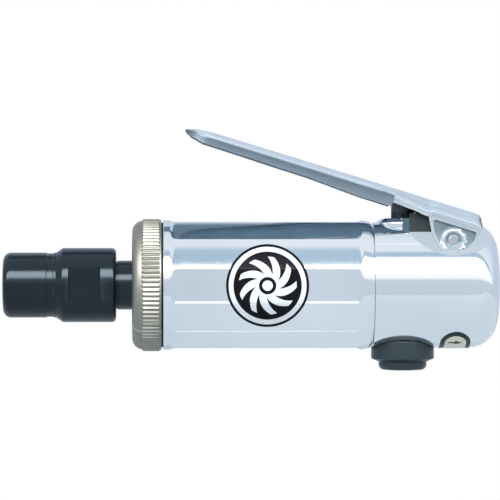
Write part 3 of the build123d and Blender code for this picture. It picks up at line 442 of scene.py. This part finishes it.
collet_length = 24.0
outline = rounded([(0, 3.175, 0.2), (0, 4.2, 0.25), (1.0, 4.2, 0), (4.0, 6.4, 0.2), (9.0, 6.4, 0.3),
                   (collet_length, 5.2, 0.2), (collet_length, 3.175, 0.15)], steps=5)
collet = lathe("split_collet", outline, steps=144, closed=True)
slit_end, slit_half = collet_length - 5.0, 0.3
for third in range(3):
    turn_slit = Matrix.Rotation(math.radians(120 * third), 3, "X")
    machine(collet, block("slit", (-1, slit_end), (-slit_half, slit_half), (0.5, 9), turn_slit))
grind(collet)
hardened = metal("hardened_steel", (0.33, 0.34, 0.36), (0.24, 0.25, 0.28), (0.22, 0.36), grain=(60, 500, 500),
                 bump=0.05, edge=(0.55, 0.56, 0.58))
fit(collet, "collet", ["collet"], hardened)

# ---------------------------------------------------------------- badge
# A thin round foil badge is glued over the barrel's near flats and follows them. It is printed
# black, with a silvery white ring and a plain turbine wheel.

badge_x = (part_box("badge")[0].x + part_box("badge")[1].x) / 2 / MM
badge_r = (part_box("badge")[1].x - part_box("badge")[0].x) / 2 / MM
foil = 0.15
ink = 0.045


def barrel_side(z):
    """Distance of the barrel's near surface from the middle plane at a height."""
    nearest = math.sqrt(barrel_r ** 2 - z ** 2)
    for step in range(-2, 3):
        lean = math.radians(360 / flat_count * step)
        across = z - crown_offset * math.sin(lean)
        nearest = min(nearest, crown_offset * math.cos(lean) + math.sqrt(crown_r ** 2 - across ** 2))
    return nearest


def on_badge(radius, angle, lift):
    """Point of the badge at a radius and angle, lifted off the barrel."""
    x, z = radius * math.cos(angle), radius * math.sin(angle)
    return (badge_x + x, -barrel_side(z) - lift, z)


def printed_patch(points, faces, outline_rows, lift):
    """Adds a patch of rows of (radius, angle) points to a badge mesh, and returns its face numbers."""
    start = len(points)
    across = len(outline_rows[0])
    points += [on_badge(radius, angle, lift) for row in outline_rows for radius, angle in row]
    first = len(faces)
    for row in range(len(outline_rows) - 1):
        for column in range(across - 1):
            a = start + row * across + column
            faces.append((a, a + 1, a + across + 1, a + across))
    return range(first, len(faces))


def foil_sheet(name, points, faces):
    """Smooth sheet of foil made from points in millimetres and faces that index them."""
    mesh = bpy.data.meshes.new(name)
    mesh.from_pydata([Vector(point) * MM for point in points], [], faces)
    for polygon in mesh.polygons:
        polygon.use_smooth = True
    piece = bpy.data.objects.new(name, mesh)
    bpy.context.scene.collection.objects.link(piece)
    return piece


points, faces, white_faces = [], [], []
spokes = 144
rings = [0.05] + [badge_r * step / 24 for step in range(1, 24)] + [badge_r]
full_turn = [2 * math.pi * step / spokes for step in range(spokes + 1)]
printed_patch(points, faces, [[(r, angle) for angle in full_turn] for r in rings], foil)
edge_start = len(points)
points += [on_badge(badge_r, angle, foil) for angle in full_turn]
points += [on_badge(badge_r, angle, 0.0) for angle in full_turn]
for step in range(spokes):
    a, b = edge_start + step, edge_start + spokes + 1 + step
    faces.append((a, a + 1, b + 1, b))
ring_in, ring_out = 9.85, 11.25
ring_rows = [[(ring_in + (ring_out - ring_in) * row / 3, angle) for angle in full_turn] for row in range(4)]
white_faces += printed_patch(points, faces, ring_rows, foil + ink)
blade_count, hub_r, blade_in, blade_out = 9, 1.5, 2.5, 8.4
hub_rows = [[(hub_r * row / 3 + 0.02, angle) for angle in full_turn] for row in range(4)]
white_faces += printed_patch(points, faces, hub_rows, foil + ink)
for blade in range(blade_count):
    rows = []
    for row in range(13):
        part = row / 12
        radius = blade_in + (blade_out - blade_in) * part
        middle = 2 * math.pi * blade / blade_count + 0.75 * part
        half = (0.55 + 1.25 * math.sin(math.pi * (0.25 + 0.55 * part))) / radius * 0.72
        rows.append([(radius, middle - half + 2 * half * column / 6) for column in range(7)])
    white_faces += printed_patch(points, faces, rows, foil + ink)
badge = foil_sheet("turbine_badge", points, faces)
print_black = metal("badge_black", (0.004, 0.004, 0.005), (0.002, 0.002, 0.003), (0.25, 0.35), metallic=0.0,
                    bump=0.01, gloss=0.08)
print_white = metal("badge_white", (0.42, 0.45, 0.48), (0.38, 0.41, 0.44), (0.3, 0.4), metallic=0.0,
                    bump=0.01, gloss=0.2)
fit(badge, "housing", ["badge"], print_black)
badge.data.materials.append(print_white)
for index in white_faces:
    badge.data.polygons[index].material_index = 1

# ---------------------------------------------------------------- throttle lever
# The lever is cast in zinc alloy and plated: a channel with a hood at the back, a round spoon
# tip, and two ears that hinge on a pin through the head. The satin plating's tones are painted by how
# light falls: lighter where the top turns up, a painted dark band on the flanks and darker hood sides,
# and painted shade in the hollow, on the ear webs and in the rings round the pin.

tilt = math.radians(17.0)
lever_top = 9.55
lever_reach = 84.5
half_width = 7.7
sheet, flange = 1.6, 1.5
tip_centre = lever_reach - half_width


def lever_point(s, y, w):
    """Point of the lever: s runs from the pivot towards the tip and w square to the top."""
    return (pivot.x - s * math.cos(tilt) + w * math.sin(tilt), y,
            pivot.z + s * math.sin(tilt) + w * math.cos(tilt))


def along_curve(table, s):
    """Value at s on a smooth curve through (s, value) pairs."""
    if s <= table[0][0]:
        return table[0][1]
    for (s0, v0), (s1, v1) in zip(table, table[1:]):
        if s <= s1:
            part = (s - s0) / (s1 - s0)
            return v0 + (v1 - v0) * part * part * (3 - 2 * part)
    return table[-1][1]


lower_edge = [(-7.2, 5.2), (7.8, 5.2), (9.6, 4.45), (13.3, 5.0), (20.25, 5.4), (20.4, 4.2), (30, 4.3),
              (46, 5.25), (78, 5.75), (81.7, 6.45), (83.5, 7.16), (lever_reach, 7.9)]
top_edge = [(-7.2, 5.3), (-6.9, 6.6), (-6.0, 8.6), (-5.2, 9.4), (-4.4, lever_top), (76, lever_top), (81, 9.2),
            (83.5, 8.55), (lever_reach, 8.1)]
bend = [(-8, 3.4), (9, 4.2), (24, 2.1), (79, 1.9), (lever_reach, 0.3)]


def channel(name, rows, bend_scale):
    """Closed form lofted along the lever from (s, half width, top, bottom) rows."""
    points, faces = [], []
    bend_steps = 9
    for s, half, top, foot in rows:
        r = min(along_curve(bend, s) * bend_scale, half * 0.9, (top - foot) * 0.8)
        side = [(half, foot)]
        for step in range(bend_steps + 1):
            lean = math.pi / 2 * step / bend_steps
            side.append((half - r + r * math.cos(lean), top - r + r * math.sin(lean)))
        section = side + [(-y, w) for y, w in reversed(side)]
        points += [lever_point(s, y, w) for y, w in section]
    across = 2 * (bend_steps + 2)
    for row in range(len(rows) - 1):
        for column in range(across):
            after = (column + 1) % across
            faces.append((row * across + column, row * across + after, (row + 1) * across + after,
                          (row + 1) * across + column))
    faces.append(tuple(range(across)))
    faces.append(tuple(range((len(rows) - 1) * across, len(rows) * across)))
    return solid(name, points, faces)


def plan_half(s, half):
    """Half width in plan, with the round tip."""
    return half if s < tip_centre else math.sqrt(max(half ** 2 - (s - tip_centre) ** 2, 0.0016))


stations = [-7.2, -7.0, -6.6, -6.0, -5.4, -4.8, -4.2, -2, 2, 6, 7.8, 8.4, 9, 9.6, 11, 13.3, 16, 18, 20.25,
            20.4, 24, 30, 38, 46, 56, 66, 72, tip_centre]
stations += [tip_centre + half_width * math.sin(math.pi / 2 * step / 18) for step in range(1, 19)]
outer = [(s, plan_half(s, half_width), along_curve(top_edge, s), along_curve(lower_edge, s))
         for s in stations]
lever = channel("cast_lever", outer, 1.0)
inner_half = half_width - flange
inner_stations = [-12, -4, 4, 20, 40, 60, tip_centre]
inner_stations += [tip_centre + inner_half * math.sin(math.pi / 2 * step / 12) for step in range(1, 13)]
inner = [(s, plan_half(s, inner_half), along_curve(top_edge, max(s, 0)) - sheet, -6) for s in inner_stations]
machine(lever, channel("lever_hollow", inner, 0.3))


def ear_plate(name, outline, near, far):
    """Flat plate of the lever's side view between two distances from the middle plane."""
    count = len(outline)
    points = [lever_point(s, y, w) for y in (near, far) for s, w in outline]
    faces = [tuple(range(count)), tuple(range(2 * count - 1, count - 1, -1))]
    faces += [(step, (step + 1) % count, count + (step + 1) % count, count + step) for step in range(count)]
    return solid(name, points, faces)


def softened(corners, rounding):
    """Closed outline through corners, each rounded by the same radius."""
    return rounded([(s, w, rounding) for s, w in corners], steps=6)


def round_pivot(name, profile, side, steps, closed=False):
    """Turned form on the hinge line, from (distance from the middle plane, radius) points."""
    points = []
    for along, radius in profile:
        for step in range(steps):
            angle = 2 * math.pi * step / steps
            points.append((pivot.x + radius * math.cos(angle), side * along,
                           pivot.z + radius * math.sin(angle)))
    return solid(name, points, ring_faces(len(profile), steps, closed))


ear_outline = softened([(9.4, 6.2), (8.9, 4.3), (6.9, 0.5), (3.9, -2.9), (1.8, -4.0), (-4.6, -2.3),
                        (-6.8, 1.3), (-6.9, 6.2)], 1.0)
web_outline = softened([(7.6, 4.2), (6.0, 0.7), (3.4, -2.0), (1.6, -2.9), (-4.0, -1.5), (-5.7, 1.6),
                        (-5.9, 4.2)], 0.7)
ear_inner, ear_web, ear_face = 6.2, 6.75, 7.4
pin_r = 1.6
for side in (-1, 1):
    ear = ear_plate("ear", ear_outline, side * ear_inner, side * ear_face)
    machine(ear, ear_plate("ear_web", web_outline, side * ear_web, side * 9))
    seat = rounded([(ear_inner, pin_r + 0.05, 0), (ear_inner, 3.9, 0), (ear_web, 3.9, 0.1),
                    (ear_face, 3.1, 0.25), (ear_face, 2.35, 0.15), (ear_face - 0.45, pin_r + 0.05, 0)],
                   steps=4)
    pin_boss = round_pivot("pin_boss", seat, side, 72, closed=True)
    ends = sorted((side * 5, side * 9))
    machine(ear, bar("pin_hole", 3.0, ends[0], ends[1], "Y", (pivot.x, pivot.z)))
    machine(ear, pin_boss, "UNION")
    machine(lever, ear, "UNION")
grind(lever, 24)
chrome = metal("lever_chrome", (0.84, 0.87, 0.90), (0.72, 0.76, 0.80), (0.10, 0.20), grain=(120, 120, 120),
               bump=0.08, edge=(0.96, 0.97, 0.98))
# Lighter and darker copies of the one plating, painted by how light falls on the top, hood sides and flanks.
hood_side_painted_tone = metal("lever_side_painted_tone", (0.27, 0.31, 0.35), (0.23, 0.27, 0.30), (0.42, 0.52),
                   grain=(60, 200, 400), bump=0.1, edge=(0.44, 0.48, 0.52))
top_painted_light = metal("lever_top", (0.155, 0.18, 0.205), (0.13, 0.155, 0.18), (0.48, 0.58),
                  grain=(60, 200, 400), bump=0.04, edge=(0.24, 0.27, 0.30))
# Faces that turn up get a lighter base colour: painted light from above.
polish = top_painted_light.node_tree
facing = polish.nodes.new("ShaderNodeTexCoord")
upward = polish.nodes.new("ShaderNodeSeparateXYZ")
upturned_light = polish.nodes.new("ShaderNodeMapRange")
upturned_light.inputs["From Min"].default_value = 0.45
upturned_light.inputs["From Max"].default_value = 0.85
brighten = polish.nodes.new("ShaderNodeMix")
brighten.data_type = "RGBA"
brighten.inputs["B"].default_value = (0.56, 0.63, 0.70, 1)
plain_tone = polish.nodes["Principled BSDF"].inputs["Base Color"].links[0].from_socket
polish.links.new(facing.outputs["Normal"], upward.inputs["Vector"])
polish.links.new(upward.outputs["Z"], upturned_light.inputs["Value"])
polish.links.new(upturned_light.outputs["Result"], brighten.inputs["Factor"])
polish.links.new(plain_tone, brighten.inputs["A"])
polish.links.new(brighten.outputs["Result"], polish.nodes["Principled BSDF"].inputs["Base Color"])
flank_painted_shade = metal("lever_flank_painted_shade", (0.085, 0.12, 0.145), (0.06, 0.09, 0.11), (0.34, 0.48), grain=(60, 200, 400),
              bump=0.15, edge=(0.22, 0.26, 0.29))
ear_painted_shade = metal("ear_painted_shade", (0.16, 0.21, 0.23), (0.10, 0.14, 0.155), (0.45, 0.60), grain=(500, 500, 500),
                bump=0.3, spots=120, edge=(0.30, 0.34, 0.36))
hollow_painted_shade = metal("lever_hollow", (0.22, 0.32, 0.40), (0.17, 0.26, 0.33), (0.55, 0.70), grain=(500, 500, 500),
               bump=0.3, spots=120)
fit(lever, "lever", ["throttle_lever"], chrome)
lever_tones = [chrome, top_painted_light, flank_painted_shade, ear_painted_shade, hollow_painted_shade, hood_side_painted_tone]
for tone in lever_tones[1:]:
    lever.data.materials.append(tone)
flank_foot, flank_top = 5.1, 7.55
flank_front, flank_rear = 80.5, 20.0
# Each face takes a painted tone by where it lies and which way it faces.
for polygon in lever.data.polygons:
    middle = polygon.center / MM - pivot
    s = -middle.x * math.cos(tilt) + middle.z * math.sin(tilt)
    w = middle.x * math.sin(tilt) + middle.z * math.cos(tilt)
    out = polygon.normal.y * math.copysign(1, middle.y)
    inside = math.hypot(max(s - tip_centre, 0), middle.y) < inner_half + 0.05 and w < lever_top - sheet + 0.05
    from_pin = math.hypot(middle.x, middle.z)
    tone = chrome
    if inside:
        tone = hollow_painted_shade
    elif pin_r < from_pin < 2.4 and abs(middle.y) > ear_web:
        tone = ear_painted_shade
    elif flank_rear < s < flank_front and w < flank_top and abs(polygon.normal.y) > 0.5:
        tone = flank_painted_shade
    elif w > flank_foot and s <= flank_rear and out > 0.99:
        tone = hood_side_painted_tone
    elif w > flank_foot:
        tone = top_painted_light
    elif s < 10 and out > 0.9 and abs(abs(middle.y) - ear_web) < 0.06:
        tone = ear_painted_shade
    polygon.material_index = lever_tones.index(tone)

pin_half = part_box("lever_pin")[1].y / MM
pin_profile = [(-pin_half, 0), (-pin_half, 1.15), (-pin_half + 0.35, pin_r), (pin_half - 0.35, pin_r),
               (pin_half, 1.15), (pin_half, 0)]
lever_pin = grind(round_pivot("hinge_pin", pin_profile, 1, 48))
ground = metal("ground_steel", (0.50, 0.52, 0.54), (0.40, 0.42, 0.44), (0.18, 0.32), grain=(80, 700, 700),
               bump=0.05, edge=(0.72, 0.73, 0.75))
fit(lever_pin, "housing", ["lever_pin"], ground)

# ---------------------------------------------------------------- plunger and its guide
# The lever pushes a domed nylon plunger down through a brass guide pressed into the boss. A
# near-black block is fixed behind it in the notch as painted shade.

plunger_low, plunger_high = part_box("valve_plunger")
plunger_r = plunger_high.y / MM
plunger_top, plunger_foot = plunger_high.z / MM, plunger_low.z / MM
dome_r = 6.0
dome_edge = dome_r - math.sqrt(dome_r ** 2 - plunger_r ** 2)
ring_foot, ring_top, ring_r = plunger_foot + 2.4, plunger_foot + 3.6, plunger_r - 1
outline = [(plunger_foot, 0)]
outline += rounded([(plunger_foot, plunger_r, 0.2), (ring_foot, plunger_r, 0.1), (ring_foot, ring_r, 0),
                    (ring_top, ring_r, 0), (ring_top, plunger_r, 0.1),
                    (plunger_top - dome_edge, plunger_r, 0.15),
                    (plunger_top - dome_edge + 0.3, plunger_r - 0.55, 0)], steps=4)[:-1]
for step in range(12, -1, -1):
    lean = math.asin((plunger_r - 0.15) / dome_r) * step / 12
    outline.append((plunger_top - dome_r + dome_r * math.cos(lean), dome_r * math.sin(lean)))
plunger = lathe("push_plunger", outline, steps=72, upright_at=valve_x)
nylon = metal("black_nylon", (0.022, 0.034, 0.040), (0.016, 0.025, 0.030), (0.32, 0.45),
              grain=(400, 400, 400), bump=0.12, metallic=0.0, edge=(0.05, 0.065, 0.072))
fit(plunger, "valve", ["valve_plunger"], nylon)

guide_low, guide_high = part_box("valve_bushing")
guide_foot, guide_top, guide_bore_r = guide_low.z / MM, guide_high.z / MM, 3.45
outline = rounded([(guide_foot, guide_bore_r, 0), (guide_foot, guide_r, 0.2), (guide_top, guide_r, 0.15),
                   (guide_top, guide_bore_r, 0.25)], steps=5)
guide = lathe("plunger_guide", outline, steps=96, upright_at=valve_x, closed=True)
buffer_half, buffer_top = 5.6, 21.1
buffer = block("buffer", (relief_x + 0.03, relief_rear - 0.4), (-buffer_half, buffer_half),
               (relief_z + 0.03, buffer_top))
machine(buffer, bar("buffer_bore", guide_r - 0.1, 10, outside, "Z", (valve_x, 0)))
machine(guide, buffer, "UNION")
grind(guide)
brass = metal("turned_brass", (0.72, 0.55, 0.26), (0.60, 0.45, 0.20), (0.20, 0.34), grain=(80, 80, 700),
              bump=0.05, edge=(0.85, 0.70, 0.40))
fit(guide, "housing", ["valve_bushing"], brass)
notch_shade_paint = metal("notch_block_painted_shade", (0.010, 0.018, 0.020), (0.007, 0.012, 0.014), (0.5, 0.65),
               grain=(600, 600, 600), bump=0.2, metallic=0.0, gloss=0.3)
guide.data.materials.append(notch_shade_paint)
# The block's faces behind the guide take the near-black painted shade.
for polygon in guide.data.polygons:
    x, y, z = polygon.center / MM
    if x > relief_x and math.hypot(x - valve_x, y) > guide_r + 0.02:
        polygon.material_index = 1

# ---------------------------------------------------------------- regulator knob
# The knob is moulded in dark glass-filled nylon with a wide grip and a smaller domed tier. A
# cheese-head screw, sunk in its end, fixes it to the regulator drum.

knob_low, knob_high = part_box("regulator_knob")
knob_top, knob_end = knob_high.z / MM, knob_low.z / MM
edge_z, tier_z, tier_r, tier_round = -21.6, -22.5, 7.05, 1.6
recess_r, recess_z = 2.6, knob_end + 2.0
dome_rise = 0.45
stem_r = 3.5
outline = rounded([(-21.0, 1.25, 0), (-21.0, stem_r, 0), (knob_top, stem_r, 0), (knob_top, knob_r, 0.4),
                   (edge_z, knob_r, 0.35), (tier_z, tier_r, 0.25), (knob_end + dome_rise, tier_r, tier_round),
                   (knob_end + 0.12, recess_r, 0.2), (recess_z, recess_r, 0.1), (recess_z, 1.25, 0)], steps=8)
knob = lathe("regulator_grip", outline, steps=144, upright_at=valve_x, closed=True)
slate = metal("slate_nylon", (0.010, 0.020, 0.025), (0.007, 0.014, 0.018), (0.26, 0.38),
              grain=(350, 350, 350), bump=0.15, metallic=0.0, edge=(0.035, 0.055, 0.065), gloss=0.4)
fit(knob, "regulator", ["regulator_knob"], slate)

head_z, cheese_end, cheese_r, shank_r, shank_end = recess_z, recess_z - 1.5, 2.4, 1.2, -15.5
outline = [(cheese_end, 0), (cheese_end, cheese_r - 0.2), (cheese_end + 0.2, cheese_r), (head_z, cheese_r),
           (head_z, shank_r), (shank_end - 0.1, shank_r), (shank_end, shank_r - 0.1), (shank_end, 0)]
screw = lathe("grip_screw", outline, steps=72, upright_at=valve_x)
machine(screw, block("screw_slot", (valve_x - 3, valve_x + 3), (-0.35, 0.35), (head_z - 3, head_z - 0.9)))
grind(screw)
fit(screw, "regulator", ["knob_screw"], ground)

# ---------------------------------------------------------------- regulator label
# A foil label is wrapped under the head next to the knob. It is printed with a cream field, a
# dark border and a row of plain brown arrows.

label_low, label_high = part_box("regulator_label")
label_x = (label_low.x + label_high.x) / 2 / MM
label_half = (label_high.x - label_low.x) / 2 / MM
label_span = label_high.y / MM
border = 1.25


def on_label(x, y, lift):
    """Point of the label, wrapped on the head."""
    return (label_x + x, y, -math.sqrt((head_r + lift) ** 2 - y ** 2))


def obround(half, span, lift):
    """Rows of points filling an obround field."""
    rows = []
    for row in range(41):
        y = -span * math.cos(math.pi * row / 40)
        over = max(abs(y) - (span - half), 0.0)
        reach = math.sqrt(max(half ** 2 - over ** 2, 0.0))
        rows.append([on_label(-reach + 2 * reach * column / 12, y, lift) for column in range(13)])
    return rows


def sheet_of(points, faces, rows):
    """Adds rows of points as a sheet and returns its face numbers."""
    start, first, across = len(points), len(faces), len(rows[0])
    for row in rows:
        points += row
    for row in range(len(rows) - 1):
        for column in range(across - 1):
            a = start + row * across + column
            faces.append((a, a + across, a + across + 1, a + 1))
    return list(range(first, len(faces)))


points, faces, arrow_faces = [], [], []
sheet_of(points, faces, obround(label_half, label_span, foil))
cream_faces = sheet_of(points, faces, obround(label_half - border, label_span - border, foil + ink))
arrow = [(1.9, 0.02), (-0.1, 1.1), (-0.1, 0.42), (-2.1, 0.36)]
for middle in (-8.1, 0.0, 8.1):
    rows = [[on_label(x, middle - half + 2 * half * column / 12, foil + 2 * ink) for column in range(13)]
            for x, half in arrow]
    arrow_faces += sheet_of(points, faces, rows)
label = foil_sheet("flow_label", points, faces)
label_dark = metal("label_dark", (0.016, 0.032, 0.036), (0.011, 0.024, 0.027), (0.3, 0.4), metallic=0.0,
                   bump=0.01, gloss=0.2)
label_cream = metal("label_cream", (0.74, 0.70, 0.55), (0.68, 0.64, 0.50), (0.3, 0.4), metallic=0.0,
                    bump=0.01, gloss=0.2)
label_brown = metal("label_brown", (0.080, 0.052, 0.018), (0.060, 0.038, 0.012), (0.3, 0.4), metallic=0.0,
                    bump=0.01, gloss=0.2)
fit(label, "housing", ["regulator_label"], label_dark)
label.data.materials.append(label_cream)
label.data.materials.append(label_brown)
for colour, indices in ((1, cream_faces), (2, arrow_faces)):
    for index in indices:
        label.data.polygons[index].material_index = colour

# ---------------------------------------------------------------- air inlet
# A steel bushing is screwed into the back of the head. It has a pipe thread inside, a brass
# strainer at the bottom and a ring of small exhaust holes round the thread.

inlet_low, inlet_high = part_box("inlet_bushing")
inlet_front, inlet_rear = inlet_low.x / MM, inlet_high.x / MM
spigot_r, waist_r, thread_r = 7.2, 6.9, 5.6
flange_x = inlet_rear - 3.0
thread_x, seat_r = inlet_rear - 12.0, 5.4
thread_pitch, thread_depth = 1.41, 0.35
outline = rounded([(inlet_front, duct_r, 0.2), (inlet_front, spigot_r, 0.3), (inlet_front + 1.9, spigot_r, 0),
                   (inlet_front + 1.9, spigot_r - 1, 0), (inlet_front + 3.1, spigot_r - 1, 0),
                   (inlet_front + 3.1, spigot_r, 0), (gallery_x, spigot_r, 0), (gallery_x, waist_r, 0),
                   (flange_x, waist_r, 0), (flange_x, gallery_r, 0), (inlet_rear, gallery_r, 0.4),
                   (inlet_rear, thread_r + 0.6, 0)], steps=6)
turns = int((inlet_rear - 0.8 - thread_x) / thread_pitch)
for turn in range(turns):
    crest = inlet_rear - 0.8 - turn * thread_pitch
    root, root_r = crest - thread_pitch / 2, thread_r + thread_depth
    outline += [(crest, thread_r), (crest - 0.15, thread_r), (root, root_r), (root - 0.12, root_r)]
outline += [(thread_x, thread_r), (thread_x, seat_r), (thread_x - 0.8, seat_r), (thread_x - 0.8, duct_r)]
inlet = lathe("inlet_fitting", outline, steps=120, closed=True)
hole_ring = (thread_r + gallery_r) / 2 + 0.45
for index in range(12):
    angle = math.radians(30 * index)
    machine(inlet, bar("exhaust_hole", 0.9, flange_x - 1, inlet_rear + 1, "X",
                       (-hole_ring * math.sin(angle), hole_ring * math.cos(angle)), steps=24))
grind(inlet)
fit(inlet, "housing", ["inlet_bushing"], ground)

# ---------------------------------------------------------------- inner parts
# Motor, bearings, valve and seals sit inside the housing. They keep their turned forms, and
# each takes the finish of its own material.

inner_finishes = {
    "ground_steel": ground,
    "spring_steel": metal("drawn_spring", (0.42, 0.43, 0.45), (0.32, 0.33, 0.35), (0.25, 0.38), bump=0.05,
                          edge=(0.6, 0.6, 0.62)),
    "bearing_cage": metal("pressed_brass", (0.70, 0.54, 0.27), (0.60, 0.45, 0.22), (0.24, 0.36), bump=0.05,
                          edge=(0.85, 0.72, 0.45)),
    "valve_brass": brass,
    "vane_composite": metal("laminated_vane", (0.28, 0.18, 0.10), (0.20, 0.125, 0.07), (0.45, 0.6),
                            grain=(30, 900, 900), bump=0.25, metallic=0.0, edge=(0.36, 0.25, 0.15)),
    "felt": metal("grey_felt", (0.34, 0.33, 0.31), (0.25, 0.245, 0.23), (0.85, 0.98),
                  grain=(1500, 1500, 1500), bump=0.9, metallic=0.0, spots=900),
    "seal_rubber": metal("nitrile_rubber", (0.022, 0.022, 0.024), (0.016, 0.016, 0.018), (0.5, 0.65),
                         grain=(600, 600, 600), bump=0.2, metallic=0.0, edge=(0.04, 0.04, 0.042)),
    "blackened_steel": black_oxide,
}
for part in frame["record"]["subparts"]:
    if part["node"] not in dressed:
        node = frame["nodes"][part["node"]]
        node.data.materials.clear()
        node.data.materials.append(inner_finishes[part["material_slot"]])

# ---------------------------------------------------------------- the studio
# The tool hangs over pale paper in a white room. A long bright soft box stands in front and
# above. Dimmer stretches between the pale walls, and a dark card above and behind the tool,
# give the polish its bands.


def sky_tone(tree, stops, turn):
    """Colour ramp over the height angle round the tool, from stops of (degrees, colour)."""
    ramp = tree.nodes.new("ShaderNodeValToRGB")
    elements = ramp.color_ramp.elements
    elements[0].position = (stops[0][0] + 180) / 360
    elements[0].color = (*stops[0][1], 1)
    elements[1].position = (stops[-1][0] + 180) / 360
    elements[1].color = (*stops[-1][1], 1)
    for degrees, colour in stops[1:-1]:
        element = elements.new((degrees + 180) / 360)
        element.color = (*colour, 1)
    tree.links.new(turn, ramp.inputs["Fac"])
    return ramp.outputs["Color"]


def feed(tree, socket, value):
    """Links a socket to another node's output, or sets its plain value."""
    if isinstance(value, bpy.types.NodeSocket):
        tree.links.new(value, socket)
    else:
        socket.default_value = value


def math_node(tree, operation, first, second):
    """Math node fed with sockets or numbers."""
    node = tree.nodes.new("ShaderNodeMath")
    node.operation = operation
    feed(tree, node.inputs[0], first)
    feed(tree, node.inputs[1], second)
    return node.outputs["Value"]


def mix_node(tree, blend, factor, first, second):
    """Colour mix node fed with sockets, colours or a plain factor."""
    node = tree.nodes.new("ShaderNodeMix")
    node.data_type = "RGBA"
    node.blend_type = blend
    feed(tree, node.inputs["Factor"], factor)
    feed(tree, node.inputs["A"], first)
    feed(tree, node.inputs["B"], second)
    return node.outputs["Result"]


world = bpy.data.worlds.new("studio")
bpy.context.scene.world = world
world.use_nodes = True
sky = world.node_tree
direction = sky.nodes.new("ShaderNodeTexCoord")
axes = sky.nodes.new("ShaderNodeSeparateXYZ")
sky.links.new(direction.outputs["Generated"], axes.inputs["Vector"])
ahead = math_node(sky, "MULTIPLY", axes.outputs["Y"], -1.0)
height = math_node(sky, "ARCTAN2", axes.outputs["Z"], ahead)
turn = math_node(sky, "ADD", math_node(sky, "DIVIDE", height, 2 * math.pi), 0.5)
walls = sky_tone(sky, [(-180, (0.60, 0.68, 0.80)), (-40, (0.60, 0.68, 0.75)), (-6, (0.63, 0.71, 0.80)),
                       (9, (0.64, 0.72, 0.80)), (14, (1.10, 1.12, 1.15)), (51, (1.15, 1.15, 1.15)),
                       (54, (0.42, 0.56, 0.70)), (62, (0.46, 0.60, 0.74)), (65, (0.86, 0.92, 0.98)),
                       (96, (0.82, 0.88, 0.95)), (110, (0.70, 0.78, 0.90)), (160, (0.58, 0.67, 0.82)),
                       (180, (0.60, 0.68, 0.80))], turn)
off, on = (0, 0, 0), (1, 1, 1)
card = sky_tone(sky, [(-180, off), (109, off), (112, on), (127, on), (130, off), (180, off)], turn)
box_light = sky_tone(sky, [(-180, off), (24, off), (28, on), (49, on), (51.5, off), (180, off)], turn)
box_half, box_strength, card_half, card_colour = 0.75, 11.0, 0.35, (0.14, 0.22, 0.30, 1)
aside = math_node(sky, "ABSOLUTE", axes.outputs["X"], 0.0)
box_power = math_node(sky, "MULTIPLY", math_node(sky, "LESS_THAN", aside, box_half), box_strength)
shade = math_node(sky, "MULTIPLY", math_node(sky, "LESS_THAN", aside, card_half), card)
carded = mix_node(sky, "MIX", shade, walls, card_colour)
lit = mix_node(sky, "MULTIPLY", 1.0, box_light, box_power)
together = mix_node(sky, "ADD", 1.0, carded, lit)
room = sky.nodes["Background"]
sky.links.new(together, room.inputs["Color"])
seen = sky.nodes.new("ShaderNodeBackground")
seen.inputs["Color"].default_value = (1, 1, 1, 1)
choose = sky.nodes.new("ShaderNodeMixShader")
ray = sky.nodes.new("ShaderNodeLightPath")
sky.links.new(ray.outputs["Is Camera Ray"], choose.inputs["Fac"])
sky.links.new(room.outputs["Background"], choose.inputs[1])
sky.links.new(seen.outputs["Background"], choose.inputs[2])
sky.links.new(choose.outputs["Shader"], sky.nodes["World Output"].inputs["Surface"])

floor_z, floor_half = -95.0, 300.0
floor = solid("paper_floor", [(-floor_half, -floor_half, floor_z), (2 * floor_half, -floor_half, floor_z),
                              (2 * floor_half, floor_half, floor_z), (-floor_half, floor_half, floor_z)],
              [(0, 1, 2, 3)])
paper = metal("pale_paper", (0.33, 0.365, 0.39), (0.31, 0.345, 0.37), (0.85, 0.95), grain=(200, 200, 200),
              bump=0.05, metallic=0.0, spots=3)
floor.data.materials.append(paper)

camera_data = bpy.data.cameras.new("camera")
camera_data.sensor_width = 36
distance, frame_width = 1.0, 0.147
camera_data.lens = camera_data.sensor_width * distance / frame_width
camera_data.clip_end = 20
camera = bpy.data.objects.new("camera", camera_data)
tool_middle = Vector((0.0724, 0.0, 0.0103))
swing = math.radians(-1.5)
camera.location = tool_middle + Vector((math.sin(swing) * distance, -math.cos(swing) * distance, 0))
camera.rotation_euler = (tool_middle - camera.location).to_track_quat("-Z", "Y").to_euler()
bpy.context.scene.collection.objects.link(camera)
bpy.context.scene.camera = camera
bpy.context.scene.view_settings.view_transform = "Standard"
